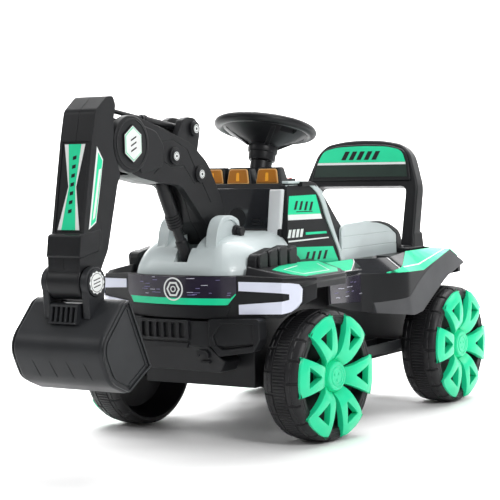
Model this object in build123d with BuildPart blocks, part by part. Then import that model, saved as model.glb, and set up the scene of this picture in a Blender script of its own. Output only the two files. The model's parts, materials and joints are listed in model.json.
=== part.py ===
from build123d import *
from math import cos, hypot, radians, sin, tan
import os

os.makedirs("parts", exist_ok=True)

# A child's electric ride-on digger. Millimetres, +Z up, the nose faces -Y and +X is the rider's left.
# The origin lies on the ground under the middle of the digger's box.
# Side profiles are lists of (distance behind the front axle, height above the ground).

# ---- driving dimensions ----
wheel_radius = 110.0
tyre_width = 71.0
track = 380.0
wheelbase = 467.0
front_axle_y = -61.5
body_half = 205.0         # half width over the rear fenders
nose_half = 212.0         # half width over the front fender plates
waist_half = 140.0        # half width of the body beside the rider's legs
seat_half = 118.0
hood_half = 140.0
cowl_front_half = 100.0
tub_half = 112.0
tub_floor = 92.0
boom_half = 28.0
stick_half = 31.0
bucket_half = 87.0
axle_radius = 5.0
wall = 4.0
thin = 3.0
running_fit = 0.05        # radial clearance of a shaft in its bore
free_gap = 0.5            # gap between parts that move past each other
steer_rest = -5.48        # the front wheels are stored turned to the rider's right
axle_z = wheel_radius

# arm pivots, as (behind the front axle, height)
boom_pivot = (-38.0, 350.0)
stick_pivot = (-283.0, 500.0)
bucket_pivot = (-400.0, 293.0)
boom_ram_foot = (-88.0, 285.0)
boom_ram_head = (-168.0, 436.0)
stick_ram_foot = (-103.0, 523.0)
stick_ram_head = (-341.0, 560.0)


def side(x):
    """Plane seen from the rider's left at x: local x runs back from the front axle, local y up."""
    return Plane(origin=(x, front_axle_y, 0), x_dir=(0, 1, 0), z_dir=(1, 0, 0))


def across(y):
    """Upright plane across the digger, y behind the front axle: local x is +X, extrusion runs forward."""
    return Plane(origin=(0, front_axle_y + y, 0), x_dir=(1, 0, 0), z_dir=(0, -1, 0))


def level(height):
    """Level plane at a height: local y runs back from the front axle."""
    return Plane(origin=(0, front_axle_y, height))


def prism(points, x_low, x_high):
    """Side profile extruded from x_low to x_high."""
    with BuildPart() as solid:
        with BuildSketch(side(x_low)):
            with BuildLine():
                Polyline(*points, close=True)
            make_face()
        extrude(amount=x_high - x_low)
    return solid.part


def disc(centre, radius, x_low, x_high):
    """Cylinder along X about a side-view centre."""
    with BuildPart() as solid:
        with BuildSketch(side(x_low)):
            with Locations(centre):
                Circle(radius)
        extrude(amount=x_high - x_low)
    return solid.part


def plan_prism(points, z_low, z_high):
    """Outline drawn from above, given for +X and mirrored, extruded upwards."""
    mirrored = [(-x, y) for x, y in reversed(points)]
    with BuildPart() as solid:
        with BuildSketch(level(z_low)):
            with BuildLine():
                Polyline(*(points + mirrored), close=True)
            make_face()
        extrude(amount=z_high - z_low)
    return solid.part


def block(x_low, x_high, y_low, y_high, z_low, z_high):
    """Box from its limits, with y measured behind the front axle."""
    with BuildPart() as solid:
        with BuildSketch(level(z_low)):
            with Locations(((x_low + x_high) / 2, (y_low + y_high) / 2)):
                Rectangle(x_high - x_low, y_high - y_low)
        extrude(amount=z_high - z_low)
    return solid.part


def mirrored(part):
    return mirror(part, about=Plane.YZ)


def save(part, name):
    part.label = name
    export_step(part, f"parts/{name}.step")


def frame_at(start, end):
    """Plane in the middle of the digger at a side-view point, with its normal towards another point."""
    dy = end[0] - start[0]
    dz = end[1] - start[1]
    return Plane(origin=(0, front_axle_y + start[0], start[1]), x_dir=(1, 0, 0), z_dir=(0, dy, dz))


def distance(start, end):
    return hypot(end[0] - start[0], end[1] - start[1])


# ---- wheels ----
tread_x = tyre_width / 2
crown_x = 30.0
rim_face = 14.0           # width of the side wall's flat ring that carries the hub cap
hub_radius = 24.0
hubcap_radius = 103.0
hubcap_thickness = 5.0
web_x = 8.0               # the wheel's web lies this far outside its middle
shoulder = wheel_radius - 9
spokes = 6
spoke_turn = -5.0


def wheel_shell():
    """Blow-moulded wheel about the X axis, middle plane at x = 0, dished on both sides."""
    inner = shoulder - rim_face
    with BuildPart() as wheel:
        with BuildSketch(Plane.XY):
            with BuildLine():
                Polyline(
                    (-tread_x, hub_radius), (-tread_x, axle_radius + running_fit),
                    (tread_x - 9, axle_radius + running_fit), (tread_x - 9, hub_radius),
                    (web_x + wall, hub_radius), (web_x + wall, inner), (tread_x, inner), (tread_x, shoulder),
                    (tread_x - 2, wheel_radius - 5), (crown_x, wheel_radius - 3),
                )
                ThreePointArc((crown_x, wheel_radius - 3), (0, wheel_radius), (-crown_x, wheel_radius - 3))
                Polyline((-crown_x, wheel_radius - 3), (2 - tread_x, wheel_radius - 5), (-tread_x, shoulder),
                         (-tread_x, shoulder - 4), (web_x, shoulder - 4),
                         (web_x, hub_radius), (-tread_x, hub_radius))
            make_face()
        revolve(axis=Axis.X)
    return wheel.part


def hub_cap():
    """Spoked hub cap about the X axis, seated on the wheel's outer side wall."""
    back = tread_x
    with BuildPart() as cap:
        with BuildSketch(Plane.YZ.offset(back)):
            Circle(hubcap_radius)
            with PolarLocations(0, spokes, start_angle=spoke_turn + 180 / spokes):
                Polygon((36, 0), (hubcap_radius + 4, -22), (hubcap_radius + 4, 22), align=None,
                        mode=Mode.SUBTRACT)
            with PolarLocations(0, spokes, start_angle=spoke_turn):
                Polygon((52, -5), (84, -15), (84, 15), (52, 5), align=None, mode=Mode.SUBTRACT)
        extrude(amount=hubcap_thickness)
        with BuildSketch(Plane.YZ.offset(web_x + wall)):
            Circle(hub_radius + 6)
        extrude(amount=back + hubcap_thickness + 4 - web_x - wall)
        with BuildSketch(Plane.YZ.offset(web_x + wall)):
            Circle(hub_radius + free_gap)
        extrude(amount=tread_x - web_x - wall, mode=Mode.SUBTRACT)
        with BuildSketch(Plane.YZ.offset(back + hubcap_thickness + 4)):
            Circle(hub_radius - 5)
        extrude(amount=3)
    return cap.part


kingpin_x = track / 2 - tread_x - 22.5
kingpin_radius = 4.0
axle_trail = 5.0


def wheel_place(name, part):
    """Puts a left-hand wheel piece on one of the four corners."""
    half = track / 2
    if name == "rear_left":
        return part.moved(Location((half, front_axle_y + wheelbase, axle_z)))
    if name == "rear_right":
        return mirrored(part).moved(Location((-half, front_axle_y + wheelbase, axle_z)))
    if name == "front_left":
        straight = part.moved(Location((half, front_axle_y + axle_trail, axle_z)))
        return straight.rotate(Axis((kingpin_x, front_axle_y, 0), (0, 0, 1)), steer_rest)
    straight = mirrored(part).moved(Location((-half, front_axle_y + axle_trail, axle_z)))
    return straight.rotate(Axis((-kingpin_x, front_axle_y, 0), (0, 0, 1)), steer_rest)


left_wheel = wheel_shell()
left_cap = hub_cap()
for corner in ("front_left", "front_right", "rear_left", "rear_right"):
    save(wheel_place(corner, left_wheel), f"wheel_{corner}")
    save(wheel_place(corner, left_cap), f"hub_cap_{corner}")

# ---- steering knuckles, stub axles and tie rod ----
steer_arm = 35.0
knuckle_half = 15.0
knuckle_low = axle_z - 21
knuckle_high = axle_z + 21
arm_thickness = 4.0
arm_z = knuckle_high - arm_thickness
pin_radius = 3.5
tie_pin_clearance = 2.3
stub_inner = kingpin_x + kingpin_radius + 3
stub_outer = track / 2 + tread_x - 1
nut_x = track / 2 + tread_x - 8

with BuildPart() as knuckle:
    with BuildSketch(level(arm_z)):
        with Locations((kingpin_x, steer_arm / 2)):
            Rectangle(12, steer_arm)
        with Locations((kingpin_x, steer_arm)):
            Circle(6)
    extrude(amount=arm_thickness)
    with BuildSketch(level(knuckle_low)):
        with Locations((kingpin_x + 1.5, 0)):
            Rectangle(21, 2 * knuckle_half)
    extrude(amount=knuckle_high - knuckle_low)
    with BuildSketch(level(knuckle_high)):
        with Locations((kingpin_x, steer_arm)):
            Circle(pin_radius)
    extrude(amount=9)
    with BuildSketch(level(knuckle_low)):
        with Locations((kingpin_x, 0)):
            Circle(kingpin_radius + running_fit)
    extrude(amount=knuckle_high - knuckle_low, mode=Mode.SUBTRACT)
    with BuildSketch(side(stub_inner)):
        with Locations((axle_trail, axle_z)):
            Circle(axle_radius)
    extrude(amount=30, mode=Mode.SUBTRACT)

with BuildPart() as stub_axle:
    with BuildSketch(side(stub_inner)):
        with Locations((axle_trail, axle_z)):
            Circle(axle_radius)
    extrude(amount=stub_outer - stub_inner)
    with BuildSketch(side(nut_x)):
        with Locations((axle_trail, axle_z)):
            RegularPolygon(10, 6)
    extrude(amount=5)


def steered(part, sign):
    """Turns a knuckle piece about its kingpin to the stored steering angle."""
    placed = part if sign > 0 else mirrored(part)
    return placed.rotate(Axis((sign * kingpin_x, front_axle_y, 0), (0, 0, 1)), steer_rest)


for name, sign in (("left", 1), ("right", -1)):
    save(steered(knuckle.part, sign), f"knuckle_{name}")
    save(steered(stub_axle.part, sign), f"stub_axle_{name}")

tie_z = knuckle_high + 0.3
tie_thickness = 5.0
rest_shift = -steer_arm * sin(radians(steer_rest))      # sideways place of the arm pins at rest
tie_y = steer_arm * cos(radians(steer_rest))
column_tilt = 15.0
wheel_centre = (153.0, 523.0)
crank_length = 17.5
crank_thickness = 5.0
crank_pin_radius = 4.0
crank_pin_length = 18.0
column_rest = steer_rest * steer_arm / crank_length
foot_z = tie_z + tie_thickness + 9
foot_y = wheel_centre[0] - (wheel_centre[1] - foot_z) * tan(radians(column_tilt))
crank_y = foot_y + crank_length * cos(radians(column_tilt)) - 2.5
slot_half = crank_pin_radius + 1.6
rod_radius = 5.0


def column(along):
    """Plane square to the steering column, at a distance up the column from its foot."""
    rise = cos(radians(column_tilt))
    lean = sin(radians(column_tilt))
    foot = (0, front_axle_y + foot_y + along * lean, foot_z + along * rise)
    return Plane(origin=foot, x_dir=(1, 0, 0), z_dir=(0, lean, rise))


column_length = (wheel_centre[1] - foot_z) / cos(radians(column_tilt))

with BuildPart() as tie_rod:
    with BuildSketch(level(tie_z)):
        with Locations((rest_shift, tie_y)):
            Rectangle(2 * kingpin_x, 12)
            with GridLocations(2 * kingpin_x, 1, 2, 1):
                Circle(11)
        with Locations((rest_shift, (tie_y + crank_y) / 2 + 6)):
            Rectangle(30, crank_y - tie_y + 24)
    extrude(amount=tie_thickness)
    with BuildSketch(level(tie_z)):
        with Locations((rest_shift, tie_y)):
            with GridLocations(2 * kingpin_x, 1, 2, 1):
                Circle(pin_radius + tie_pin_clearance)
        with Locations((rest_shift, crank_y)):
            SlotOverall(24, 2 * slot_half, rotation=90)
    extrude(amount=tie_thickness, mode=Mode.SUBTRACT)
save(tie_rod.part, "tie_rod")

# ---- steering column and wheel ----
rod_top = column_length - 12
grip_radius = 9.0
grip_centre = 83.0
spoke_start = 24.0
neck_radius = 18.0
collar_radius = 25.0
neck_low = 304.0
collar_low = column_length - 30
horn_radius = 26.0
horn_travel = 3.0

crank_x = crank_length * sin(radians(-column_rest))
crank_v = crank_length * cos(radians(column_rest))
with BuildPart() as steering_rod:
    with BuildSketch(column(0)):
        Circle(rod_radius)
    extrude(amount=rod_top)
    with BuildSketch(column(0)):
        Circle(9)
        with Locations((crank_x, crank_v)):
            Circle(7)
        with Locations((crank_x / 2, crank_v / 2)):
            Rectangle(12, crank_length, rotation=column_rest)
    extrude(amount=crank_thickness)
    with BuildSketch(column(0)):
        with Locations((crank_x, crank_v)):
            Circle(crank_pin_radius)
    extrude(amount=-crank_pin_length)
save(steering_rod.part, "steering_rod")

with BuildPart() as steering_wheel:
    with BuildSketch(Plane(origin=column(column_length).origin, x_dir=(1, 0, 0),
                           z_dir=(0, -cos(radians(column_tilt)), sin(radians(column_tilt))))):
        with Locations((grip_centre, 0)):
            Circle(grip_radius)
    revolve(axis=Axis(column(column_length).origin, column(0).z_dir))
    with BuildSketch(column(column_length - 6)):
        Circle(44)
        with PolarLocations(0, 3, start_angle=-90):
            with Locations(((spoke_start + grip_centre) / 2, 0)):
                Rectangle(grip_centre - spoke_start, 34)
    extrude(amount=8)
    with BuildSketch(column(collar_low)):
        Circle(collar_radius)
    with BuildSketch(column(column_length - 5)):
        Circle(44)
    loft()
    with BuildSketch(column(collar_low - 14)):
        Circle(collar_radius)
    extrude(amount=14)
    with BuildSketch(column(neck_low)):
        Circle(neck_radius)
    extrude(amount=collar_low - neck_low)
    with BuildSketch(column(neck_low)):
        Circle(rod_radius)
    extrude(amount=rod_top - neck_low, mode=Mode.SUBTRACT)
    with BuildSketch(column(column_length - 8)):
        Circle(horn_radius + free_gap)
    extrude(amount=10, mode=Mode.SUBTRACT)
save(steering_wheel.part, "steering_wheel")

with BuildPart() as horn_button:
    with BuildSketch(column(column_length - 8 + horn_travel + free_gap)):
        Circle(horn_radius)
    extrude(amount=9)
save(horn_button.part, "horn_button")

# ---- lower tub: battery, drive and footboards ----
tub_front = -72.0
body_rear = wheelbase + 53      # tip of the rear fenders
tub_rear = body_rear - 15
nose_deck = 274.0         # underside of the front fender plates
deck = 284.0              # top of the body, where seat and cowl stand
deck_thickness = 4.0
bracket_reach = kingpin_x + 10
step_half = 165.0
step_front = 165.0
step_rear = 345.0
step_low = 112.0
step_thickness = 18.0
pedal_pivot = (232.0, step_low + step_thickness + 8)
pedal_pin_radius = 2.5
pedal_left = -124.0
pedal_right = -150.0
pedal_lug = 4.0

with BuildPart() as chassis:
    add(prism([(tub_front, tub_floor), (tub_front, nose_deck), (100, nose_deck), (100, deck - deck_thickness),
               (400, deck - deck_thickness), (400, 240), (tub_rear, 240), (tub_rear, tub_floor)],
              -tub_half, tub_half))
    add(block(-tub_half + wall, tub_half - wall, tub_front + wall, tub_rear - wall, tub_floor + wall, 300),
        mode=Mode.SUBTRACT)
    for sign in (1, -1):
        low, high = sorted((sign * tub_half, sign * bracket_reach))
        add(block(low, high, -14, 14, knuckle_low - 0.5 - wall, knuckle_low - 0.5))
        add(block(low, high, -14, 14, knuckle_high + 0.5, knuckle_high + 0.5 + wall))
        low, high = sorted((sign * (tub_half - wall), sign * (tub_half + wall)))
        add(block(low, high, -14, 14, knuckle_low - 0.5 - wall, knuckle_high + 0.5 + wall))
        add(block(low, high, 12, 66, knuckle_high - 1, tie_z + tie_thickness + 3), mode=Mode.SUBTRACT)
    with BuildSketch(level(knuckle_low - 10)):
        with GridLocations(2 * kingpin_x, 1, 2, 1):
            Circle(kingpin_radius + running_fit)
    extrude(amount=80, mode=Mode.SUBTRACT)
    add(disc((wheelbase, axle_z), axle_radius + running_fit, -tub_half - 1, tub_half + 1), mode=Mode.SUBTRACT)
save(chassis.part, "chassis")

with BuildPart() as footboards:
    for sign in (1, -1):
        low, high = sorted((sign * tub_half, sign * step_half))
        add(block(low, high, step_front, step_rear, step_low, step_low + step_thickness))
        low, high = sorted((sign * (tub_half + wall), sign * (step_half - wall)))
        add(block(low, high, step_front + wall, step_rear - wall, step_low + wall, step_low + step_thickness),
            mode=Mode.SUBTRACT)
    for low, high in ((pedal_left + free_gap, pedal_left + free_gap + pedal_lug),
                      (pedal_right - free_gap - pedal_lug, pedal_right - free_gap)):
        add(block(low, high, pedal_pivot[0] - 6, pedal_pivot[0] + 6, step_low, pedal_pivot[1] + 6))
    add(disc(pedal_pivot, pedal_pin_radius + running_fit, pedal_right - 6, pedal_left + 6), mode=Mode.SUBTRACT)
save(footboards.part, "footboards")

with BuildPart() as kingpins:
    with BuildSketch(level(knuckle_low - 0.5 - wall)):
        with GridLocations(2 * kingpin_x, 1, 2, 1):
            Circle(kingpin_radius)
    extrude(amount=knuckle_high - knuckle_low + 1 + 2 * wall)
    with BuildSketch(level(knuckle_high + 0.5 + wall)):
        with GridLocations(2 * kingpin_x, 1, 2, 1):
            Circle(kingpin_radius + 3)
    extrude(amount=3)
save(kingpins.part, "kingpins")

with BuildPart() as rear_axle:
    add(disc((wheelbase, axle_z), axle_radius, -stub_outer, stub_outer))
    for x in (nut_x, -nut_x - 5):
        with BuildSketch(side(x)):
            with Locations((wheelbase, axle_z)):
                RegularPolygon(10, 6)
        extrude(amount=5)
save(rear_axle.part, "rear_axle")

spacer_outer = track / 2 - tread_x - free_gap
with BuildPart() as axle_spacers:
    for low, high in ((tub_half, spacer_outer), (-spacer_outer, -tub_half)):
        add(disc((wheelbase, axle_z), axle_radius + 6, low, high))
        add(disc((wheelbase, axle_z), axle_radius, low, high), mode=Mode.SUBTRACT)
save(axle_spacers.part, "axle_spacers")

gearbox_x = tub_half - wall
gear_drop = 42.0
with BuildPart() as gearbox:
    with BuildSketch(side(gearbox_x - 46)):
        with Locations((wheelbase - 22, axle_z + 12)):
            RectangleRounded(108, 2 * (axle_z + 12 - tub_floor - wall), 10)
        with Locations((wheelbase - 22, axle_z + 34)):
            RectangleRounded(60, 40, 8)
        with Locations((wheelbase, axle_z)):
            Circle(axle_radius, mode=Mode.SUBTRACT)
    extrude(amount=46)
save(gearbox.part, "gearbox")

with BuildPart() as motor:
    add(disc((wheelbase - gear_drop, axle_z + 22), 17.5, gearbox_x - 46 - 52, gearbox_x - 46))
    add(disc((wheelbase - gear_drop, axle_z + 22), 6, gearbox_x - 46 - 56, gearbox_x - 46 - 52))
save(motor.part, "motor")

with BuildPart() as battery:
    add(block(-75, 25, 255, 305, tub_floor + wall, tub_floor + wall + 92))
    add(block(-65, -59, 276, 284, tub_floor + wall + 92, tub_floor + wall + 98))
    add(block(9, 15, 276, 284, tub_floor + wall + 92, tub_floor + wall + 98))
save(battery.part, "battery")

# ---- body: waist and rear fenders ----
body_front = 100.5
body_profile = [(body_front, 264), (150, 205), (209, 192), (327, 181), (430, 233), (body_rear, 261),
                (body_rear - 46, 294), (440, 298), (428, deck), (body_front, deck)]
body_inner = [(body_front - 1, deck - deck_thickness), (424, deck - deck_thickness), (436, 294),
              (body_rear - 48, 290), (body_rear - 9, 262), (body_rear - 15, 235), (body_rear - 15, 150),
              (body_front - 1, 150)]
body_plan = [(waist_half, 90), (waist_half, 250), (body_half, 320), (body_half, body_rear + 1)]
body_plan_inner = [(waist_half - wall, 80), (waist_half - wall, 252), (body_half - wall, 322),
                   (body_half - wall, body_rear + 10)]
with BuildPart() as body:
    add(prism(body_profile, -body_half, body_half))
    add(plan_prism(body_plan, 150, 310), mode=Mode.INTERSECT)
    with BuildSketch(across(body_rear + 20)):
        Polygon((-body_half, 150), (body_half, 150), (body_half, 274), (waist_half - 10, 300),
                (-waist_half + 10, 300), (-body_half, 274), align=None)
    extrude(amount=450, mode=Mode.INTERSECT)
    add(prism(body_inner, -body_half, body_half).intersect(
        plan_prism(body_plan_inner, 100, 272)), mode=Mode.SUBTRACT)
    add(prism(body_inner, -waist_half + wall, waist_half - wall).intersect(
        plan_prism(body_plan_inner, 100, 330)), mode=Mode.SUBTRACT)
save(body.part, "body")

# ---- nose: apron with fender plates, fascia, light bars, bumper ----
nose_low = 212.0
nose_top = 282.0
plate_edge = 276.0
apron_wall = 5.0
lamp_low = 216.0
lamp_high = 270.0
lamp_bar_height = 15.0


def nose_sketch(height, outset):
    """The nose seen from above: a bowed front, swept lamp facets and the fender plates' edges."""
    with BuildSketch(level(height)) as outline:
        with BuildLine():
            ThreePointArc((-94, -123), (0, -139), (94, -123))
            Polyline((94, -123), (181, -91), (204, -58), (nose_half, -34), (nose_half, 62), (194, 88), (150, 100),
                     (-150, 100), (-194, 88), (-nose_half, 62), (-nose_half, -34), (-204, -58), (-181, -91),
                     (-94, -123))
        make_face()
        if outset:
            offset(amount=outset, kind=Kind.INTERSECTION)
    return outline.sketch


with BuildPart() as front_cover:
    add(nose_sketch(nose_low, 0))
    extrude(amount=nose_top - nose_low)
    with BuildSketch(across(110)):
        Polygon((-nose_half - 1, nose_low), (nose_half + 1, nose_low), (nose_half + 1, plate_edge),
                (seat_half, nose_top), (-seat_half, nose_top), (-nose_half - 1, plate_edge), align=None)
    extrude(amount=260, mode=Mode.INTERSECT)
    add(nose_sketch(nose_low, -apron_wall))
    extrude(amount=nose_deck - nose_low - 4, mode=Mode.SUBTRACT)
    add(block(-nose_half - 5, nose_half + 5, -34, 105, nose_low - 1, 258), mode=Mode.SUBTRACT)
    add(prism([(-93, 200), (-93, nose_low), (-60, 234), (-33, 242), (-33, 200)], -nose_half - 5, nose_half + 5),
        mode=Mode.SUBTRACT)
    add(block(-100, 100, -99, 105, nose_low - 1, nose_top + 1), mode=Mode.SUBTRACT)
    add(block(-tub_half, tub_half, tub_front, 105, nose_low - 1, nose_deck), mode=Mode.SUBTRACT)
save(front_cover.part, "front_cover")

with BuildPart() as fascia_panel:
    add(nose_sketch(226, 2))
    extrude(amount=nose_top - 1 - 226)
    add(nose_sketch(226, 0))
    extrude(amount=nose_top - 226, mode=Mode.SUBTRACT)
    add(block(-93, 93, -160, -100, 200, 300), mode=Mode.INTERSECT)
save(fascia_panel.part, "fascia_panel")

with BuildPart() as light_bars:
    add(nose_sketch(lamp_low, 3))
    extrude(amount=lamp_high - lamp_low)
    add(nose_sketch(lamp_low, 0))
    extrude(amount=lamp_high - lamp_low, mode=Mode.SUBTRACT)
    add(block(-nose_half - 5, nose_half + 5, -160, -58, 200, 300), mode=Mode.INTERSECT)
    add(block(-112, 112, -160, 0, 200, 300), mode=Mode.SUBTRACT)
    add(block(-197, 197, -160, 0, lamp_low + lamp_bar_height, lamp_high - lamp_bar_height),
        mode=Mode.SUBTRACT)
    add(prism([(-93, 200), (-93, nose_low + 4), (-60, 238), (-33, 246), (-33, 200)],
              -nose_half - 5, nose_half + 5), mode=Mode.SUBTRACT)
save(light_bars.part, "light_bars")

bumper_half = 150.0
bumper_front = -143.0
bumper_low = 155.0
skid_low = 124.0
bumper_rear = tub_front
with BuildPart() as bumper:
    with BuildSketch(level(bumper_low)):
        with BuildLine():
            ThreePointArc((-bumper_half, -124), (0, bumper_front), (bumper_half, -124))
            Polyline((bumper_half, -124), (bumper_half, -113), (100, -113), (100, bumper_rear),
                     (-100, bumper_rear), (-100, -113), (-bumper_half, -113), (-bumper_half, -124))
        make_face()
    extrude(amount=nose_low - bumper_low)
    with BuildSketch(across(bumper_rear)):
        Polygon((-92, bumper_low), (-58, skid_low), (58, skid_low), (92, bumper_low), align=None)
    extrude(amount=bumper_rear - bumper_front - 4)
    add(block(-92, 92, -118, bumper_rear - wall, skid_low - 1, nose_low - wall), mode=Mode.SUBTRACT)
    for slot in range(6):
        x = -64 + slot * 19
        add(block(x, x + 15, -160, -132, 177, 206), mode=Mode.SUBTRACT)
    for sign in (1, -1):
        with BuildSketch(across(-128)):
            Polygon((sign * 66, 182), (sign * 84, 206), (sign * 140, 206), (sign * 140, 164), (sign * 84, 158),
                    align=None)
        extrude(amount=40, mode=Mode.SUBTRACT)
save(bumper.part, "bumper")

# ---- hood with the boom's ears ----
slot_half_width = boom_half + 3
ram_slot = 13.0
ram_lug = 5.0
ram_pin_radius = 4.0
boom_hub_radius = 15.0
boom_pin_head = 11.0
ear_inner = 40.0
ear_outer = 59.0
boom_pin_radius = 7.0


def dome(inset):
    """The hood's domed outside, or its inside at an inset."""
    rows = [
        (nose_top, [(70, -124), (93, -114), (hood_half, -62), (hood_half, 30), (104, 57)]),
        (315, [(66, -112), (84, -104), (110, -60), (114, 30), (103, 57)]),
        (336, [(56, -92), (66, -86), (86, -50), (86, 30), (86, 57)]),
        (345, [(34, -68), (42, -62), (60, -36), (60, 30), (60, 57)]),
    ]
    with BuildPart() as shell:
        for height, row in rows:
            lower = height - (inset if height > nose_top else 0)
            points = [(x - inset, y + (inset if y < 50 else -inset)) for x, y in row]
            with BuildSketch(level(lower)):
                Polygon(*(points + [(-x, y) for x, y in reversed(points)]), align=None)
        loft(ruled=True)
    return shell.part


ear_profile = [(-80, 322), (-74, 350), (-68, 364), (-58, 373), (-44, 375), (-31, 371), (-22, 360), (-19, 344),
               (-14, 330)]
with BuildPart() as hood:
    add(dome(0))
    add(dome(thin), mode=Mode.SUBTRACT)
    for low, high in ((ear_inner, ear_outer), (-ear_outer, -ear_inner)):
        add(prism(ear_profile, low, high))
    for low, high in ((ram_slot, ram_slot + ram_lug), (-ram_slot - ram_lug, -ram_slot)):
        add(block(low, high, -99, -76, nose_top, 400).intersect(dome(0)))
    add(block(-slot_half_width, slot_half_width, -68, -4, 276, 360), mode=Mode.SUBTRACT)
    add(block(-ram_slot, ram_slot, -121, -60, 288, 360), mode=Mode.SUBTRACT)
    add(disc(boom_pivot, boom_hub_radius + 1, -ear_inner, ear_inner), mode=Mode.SUBTRACT)
    add(disc(boom_pivot, boom_pin_radius + running_fit, -80, 80), mode=Mode.SUBTRACT)
    for low, high in ((ear_outer, ear_outer + 40), (-ear_outer - 40, -ear_outer)):
        add(disc(boom_pivot, boom_pin_head + free_gap, low, high), mode=Mode.SUBTRACT)
    add(disc(boom_ram_foot, ram_pin_radius + running_fit, -30, 30), mode=Mode.SUBTRACT)
save(hood.part, "hood")

with BuildPart() as boom_pin:
    add(disc(boom_pivot, boom_pin_radius, -ear_outer - 1, ear_outer + 1))
    for low, high in ((ear_outer, ear_outer + 8), (-ear_outer - 8, -ear_outer)):
        add(disc(boom_pivot, boom_pin_head, low, high))
save(boom_pin.part, "boom_pin")

vent_profile = [(-88, nose_top), (-84, 302), (-64, 316), (38, 324), (42, 300), (42, nose_top)]
with BuildPart() as vent_blocks:
    for low, high in ((116, 133), (-133, -116)):
        add(prism(vent_profile, low, high))
        for rib in range(4):
            y = -60 + rib * 25
            add(block(low - 1, high + 1, y, y + 5, 306, 330), mode=Mode.SUBTRACT)
    add(dome(-0.2), mode=Mode.SUBTRACT)
save(vent_blocks.part, "vent_blocks")

# ---- cowl, dash and beacons ----
cowl_front = 60.0
cowl_profile = [(cowl_front, nose_top), (cowl_front, 424), (141, 424), (160, 410), (176, 367), (206, 303),
                (206, deck), (body_front, deck), (body_front, nose_top)]
cowl_hollow = [(cowl_front + wall, 270), (cowl_front + wall, 424 - wall), (139, 424 - wall), (156, 408),
               (172, 365), (200, 306), (200, 270)]
cowl_plan = [(cowl_front_half, cowl_front), (seat_half, 207)]
cowl_plan_inner = [(cowl_front_half - wall, cowl_front), (seat_half - wall, 207)]
dash_thickness = 5.0
with BuildPart() as cowl:
    add(prism(cowl_profile, -seat_half, seat_half))
    add(plan_prism(cowl_plan, 270, 430), mode=Mode.INTERSECT)
    add(prism(cowl_hollow, -seat_half, seat_half).intersect(plan_prism(cowl_plan_inner, 260, 440)),
        mode=Mode.SUBTRACT)
    with BuildSketch(column(200)):
        Circle(rod_radius + 2)
    extrude(amount=200, mode=Mode.SUBTRACT)
save(cowl.part, "cowl")

switch_pivot = (118.0, 431.5)
switch_x = 60.0
switch_half = 8.0
switch_pin = 1.5
with BuildPart() as dash_shell:
    add(prism([(92, 424), (141, 424), (160, 410), (176, 367), (206, 303), (211, 303), (211, 307), (181, 369),
               (165, 414), (143, 424 + dash_thickness), (92, 424 + dash_thickness)], -seat_half, seat_half))
    add(plan_prism([(cowl_front_half + 1, cowl_front), (seat_half + 1, 212)], 270, 440), mode=Mode.INTERSECT)
    with BuildSketch(column(200)):
        Circle(rod_radius + running_fit)
    extrude(amount=200, mode=Mode.SUBTRACT)
    for x in (switch_x, -switch_x):
        add(block(x - 12, x + 12, 102, 134, 424, 434))
        add(block(x - switch_half - 0.3, x + switch_half + 0.3, 105, 131, 423, 435), mode=Mode.SUBTRACT)
        add(disc(switch_pivot, switch_pin + running_fit, x - 10.5, x + 10.5), mode=Mode.SUBTRACT)
save(dash_shell.part, "dash_shell")

panel_thickness = 3.0
with BuildPart() as cowl_panel:
    add(block(-64, 64, cowl_front - panel_thickness, cowl_front, 348, 420))
save(cowl_panel.part, "cowl_panel")

with BuildPart() as cowl_strips:
    for sign in (1, -1):
        with BuildSketch(level(348)):
            Polygon((sign * 66, cowl_front), (sign * 66, cowl_front - 4), (sign * 82, cowl_front - 3),
                    (sign * 92, cowl_front), align=None)
        extrude(amount=72)
save(cowl_strips.part, "cowl_strips")

beacon_pitch = 57.0
beacon_width = 47.0
beacon_base = 428.0
beacon_top = 453.0
with BuildPart() as lamp_bar:
    add(block(-94, 94, 62, 90, 424, beacon_base))
    for number in (-1, 0, 1):
        x = number * beacon_pitch
        y = 66 + 5 * abs(number)
        with BuildSketch(across(y + 18)):
            with BuildLine():
                Polyline((x - 23, beacon_base), (x + 23, beacon_base), (x + 19, beacon_top), (x - 19, beacon_top),
                         close=True)
            make_face()
        extrude(amount=18)
save(lamp_bar.part, "lamp_bar")

with BuildPart() as beacon_lenses:
    for number in (-1, 0, 1):
        x = number * beacon_pitch
        y = 66 + 5 * abs(number)
        with BuildSketch(across(y)):
            with BuildLine():
                Polyline((x - 21, beacon_base + 0.3), (x + 21, beacon_base + 0.3), (x + 18, beacon_top - 2),
                         (x - 18, beacon_top - 2), close=True)
            make_face()
        extrude(amount=4)
save(beacon_lenses.part, "beacon_lenses")


# ---- side panels, seat and seat back ----
with BuildPart() as side_panels:
    for low, high in ((waist_half, waist_half + 2), (-waist_half - 2, -waist_half)):
        add(prism([(140, 252), (152, 212), (248, 206), (248, 258)], low, high))
save(side_panels.part, "side_panels")

seat_front = 212.0
socket_place = (300.0, 318.0)
socket_flange = 9.0
socket_barrel = 6.0
socket_depth = 14.0
jack_radius = 2.8
jack_length = 9.0
seat_rear = 421.0
seat_profile = [(seat_front, deck), (seat_front, 338), (224, 347), (300, 351), (384, 346), (412, 334),
                (seat_rear, deck)]
with BuildPart() as seat:
    add(prism(seat_profile, -seat_half, seat_half))
    add(prism([(seat_front + wall, deck), (seat_front + wall, 335), (226, 343), (300, 347), (382, 342),
               (408, 331), (seat_rear - wall, deck)], -seat_half + wall, seat_half - wall), mode=Mode.SUBTRACT)
    add(disc(socket_place, socket_barrel, -seat_half - 1, -seat_half + wall + 1), mode=Mode.SUBTRACT)
save(seat.part, "seat")

back_foot = (470.0, 292.0)
back_lean = 12.0
back_height = 212.0
back_depth = 32.0
back_half = 126.0
back_post = 26.0
back_crown = (90.0, 200.0)       # where the sloping flank meets the curved top
back_waist = 122.0              # height at which the posts start to lean in


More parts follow.
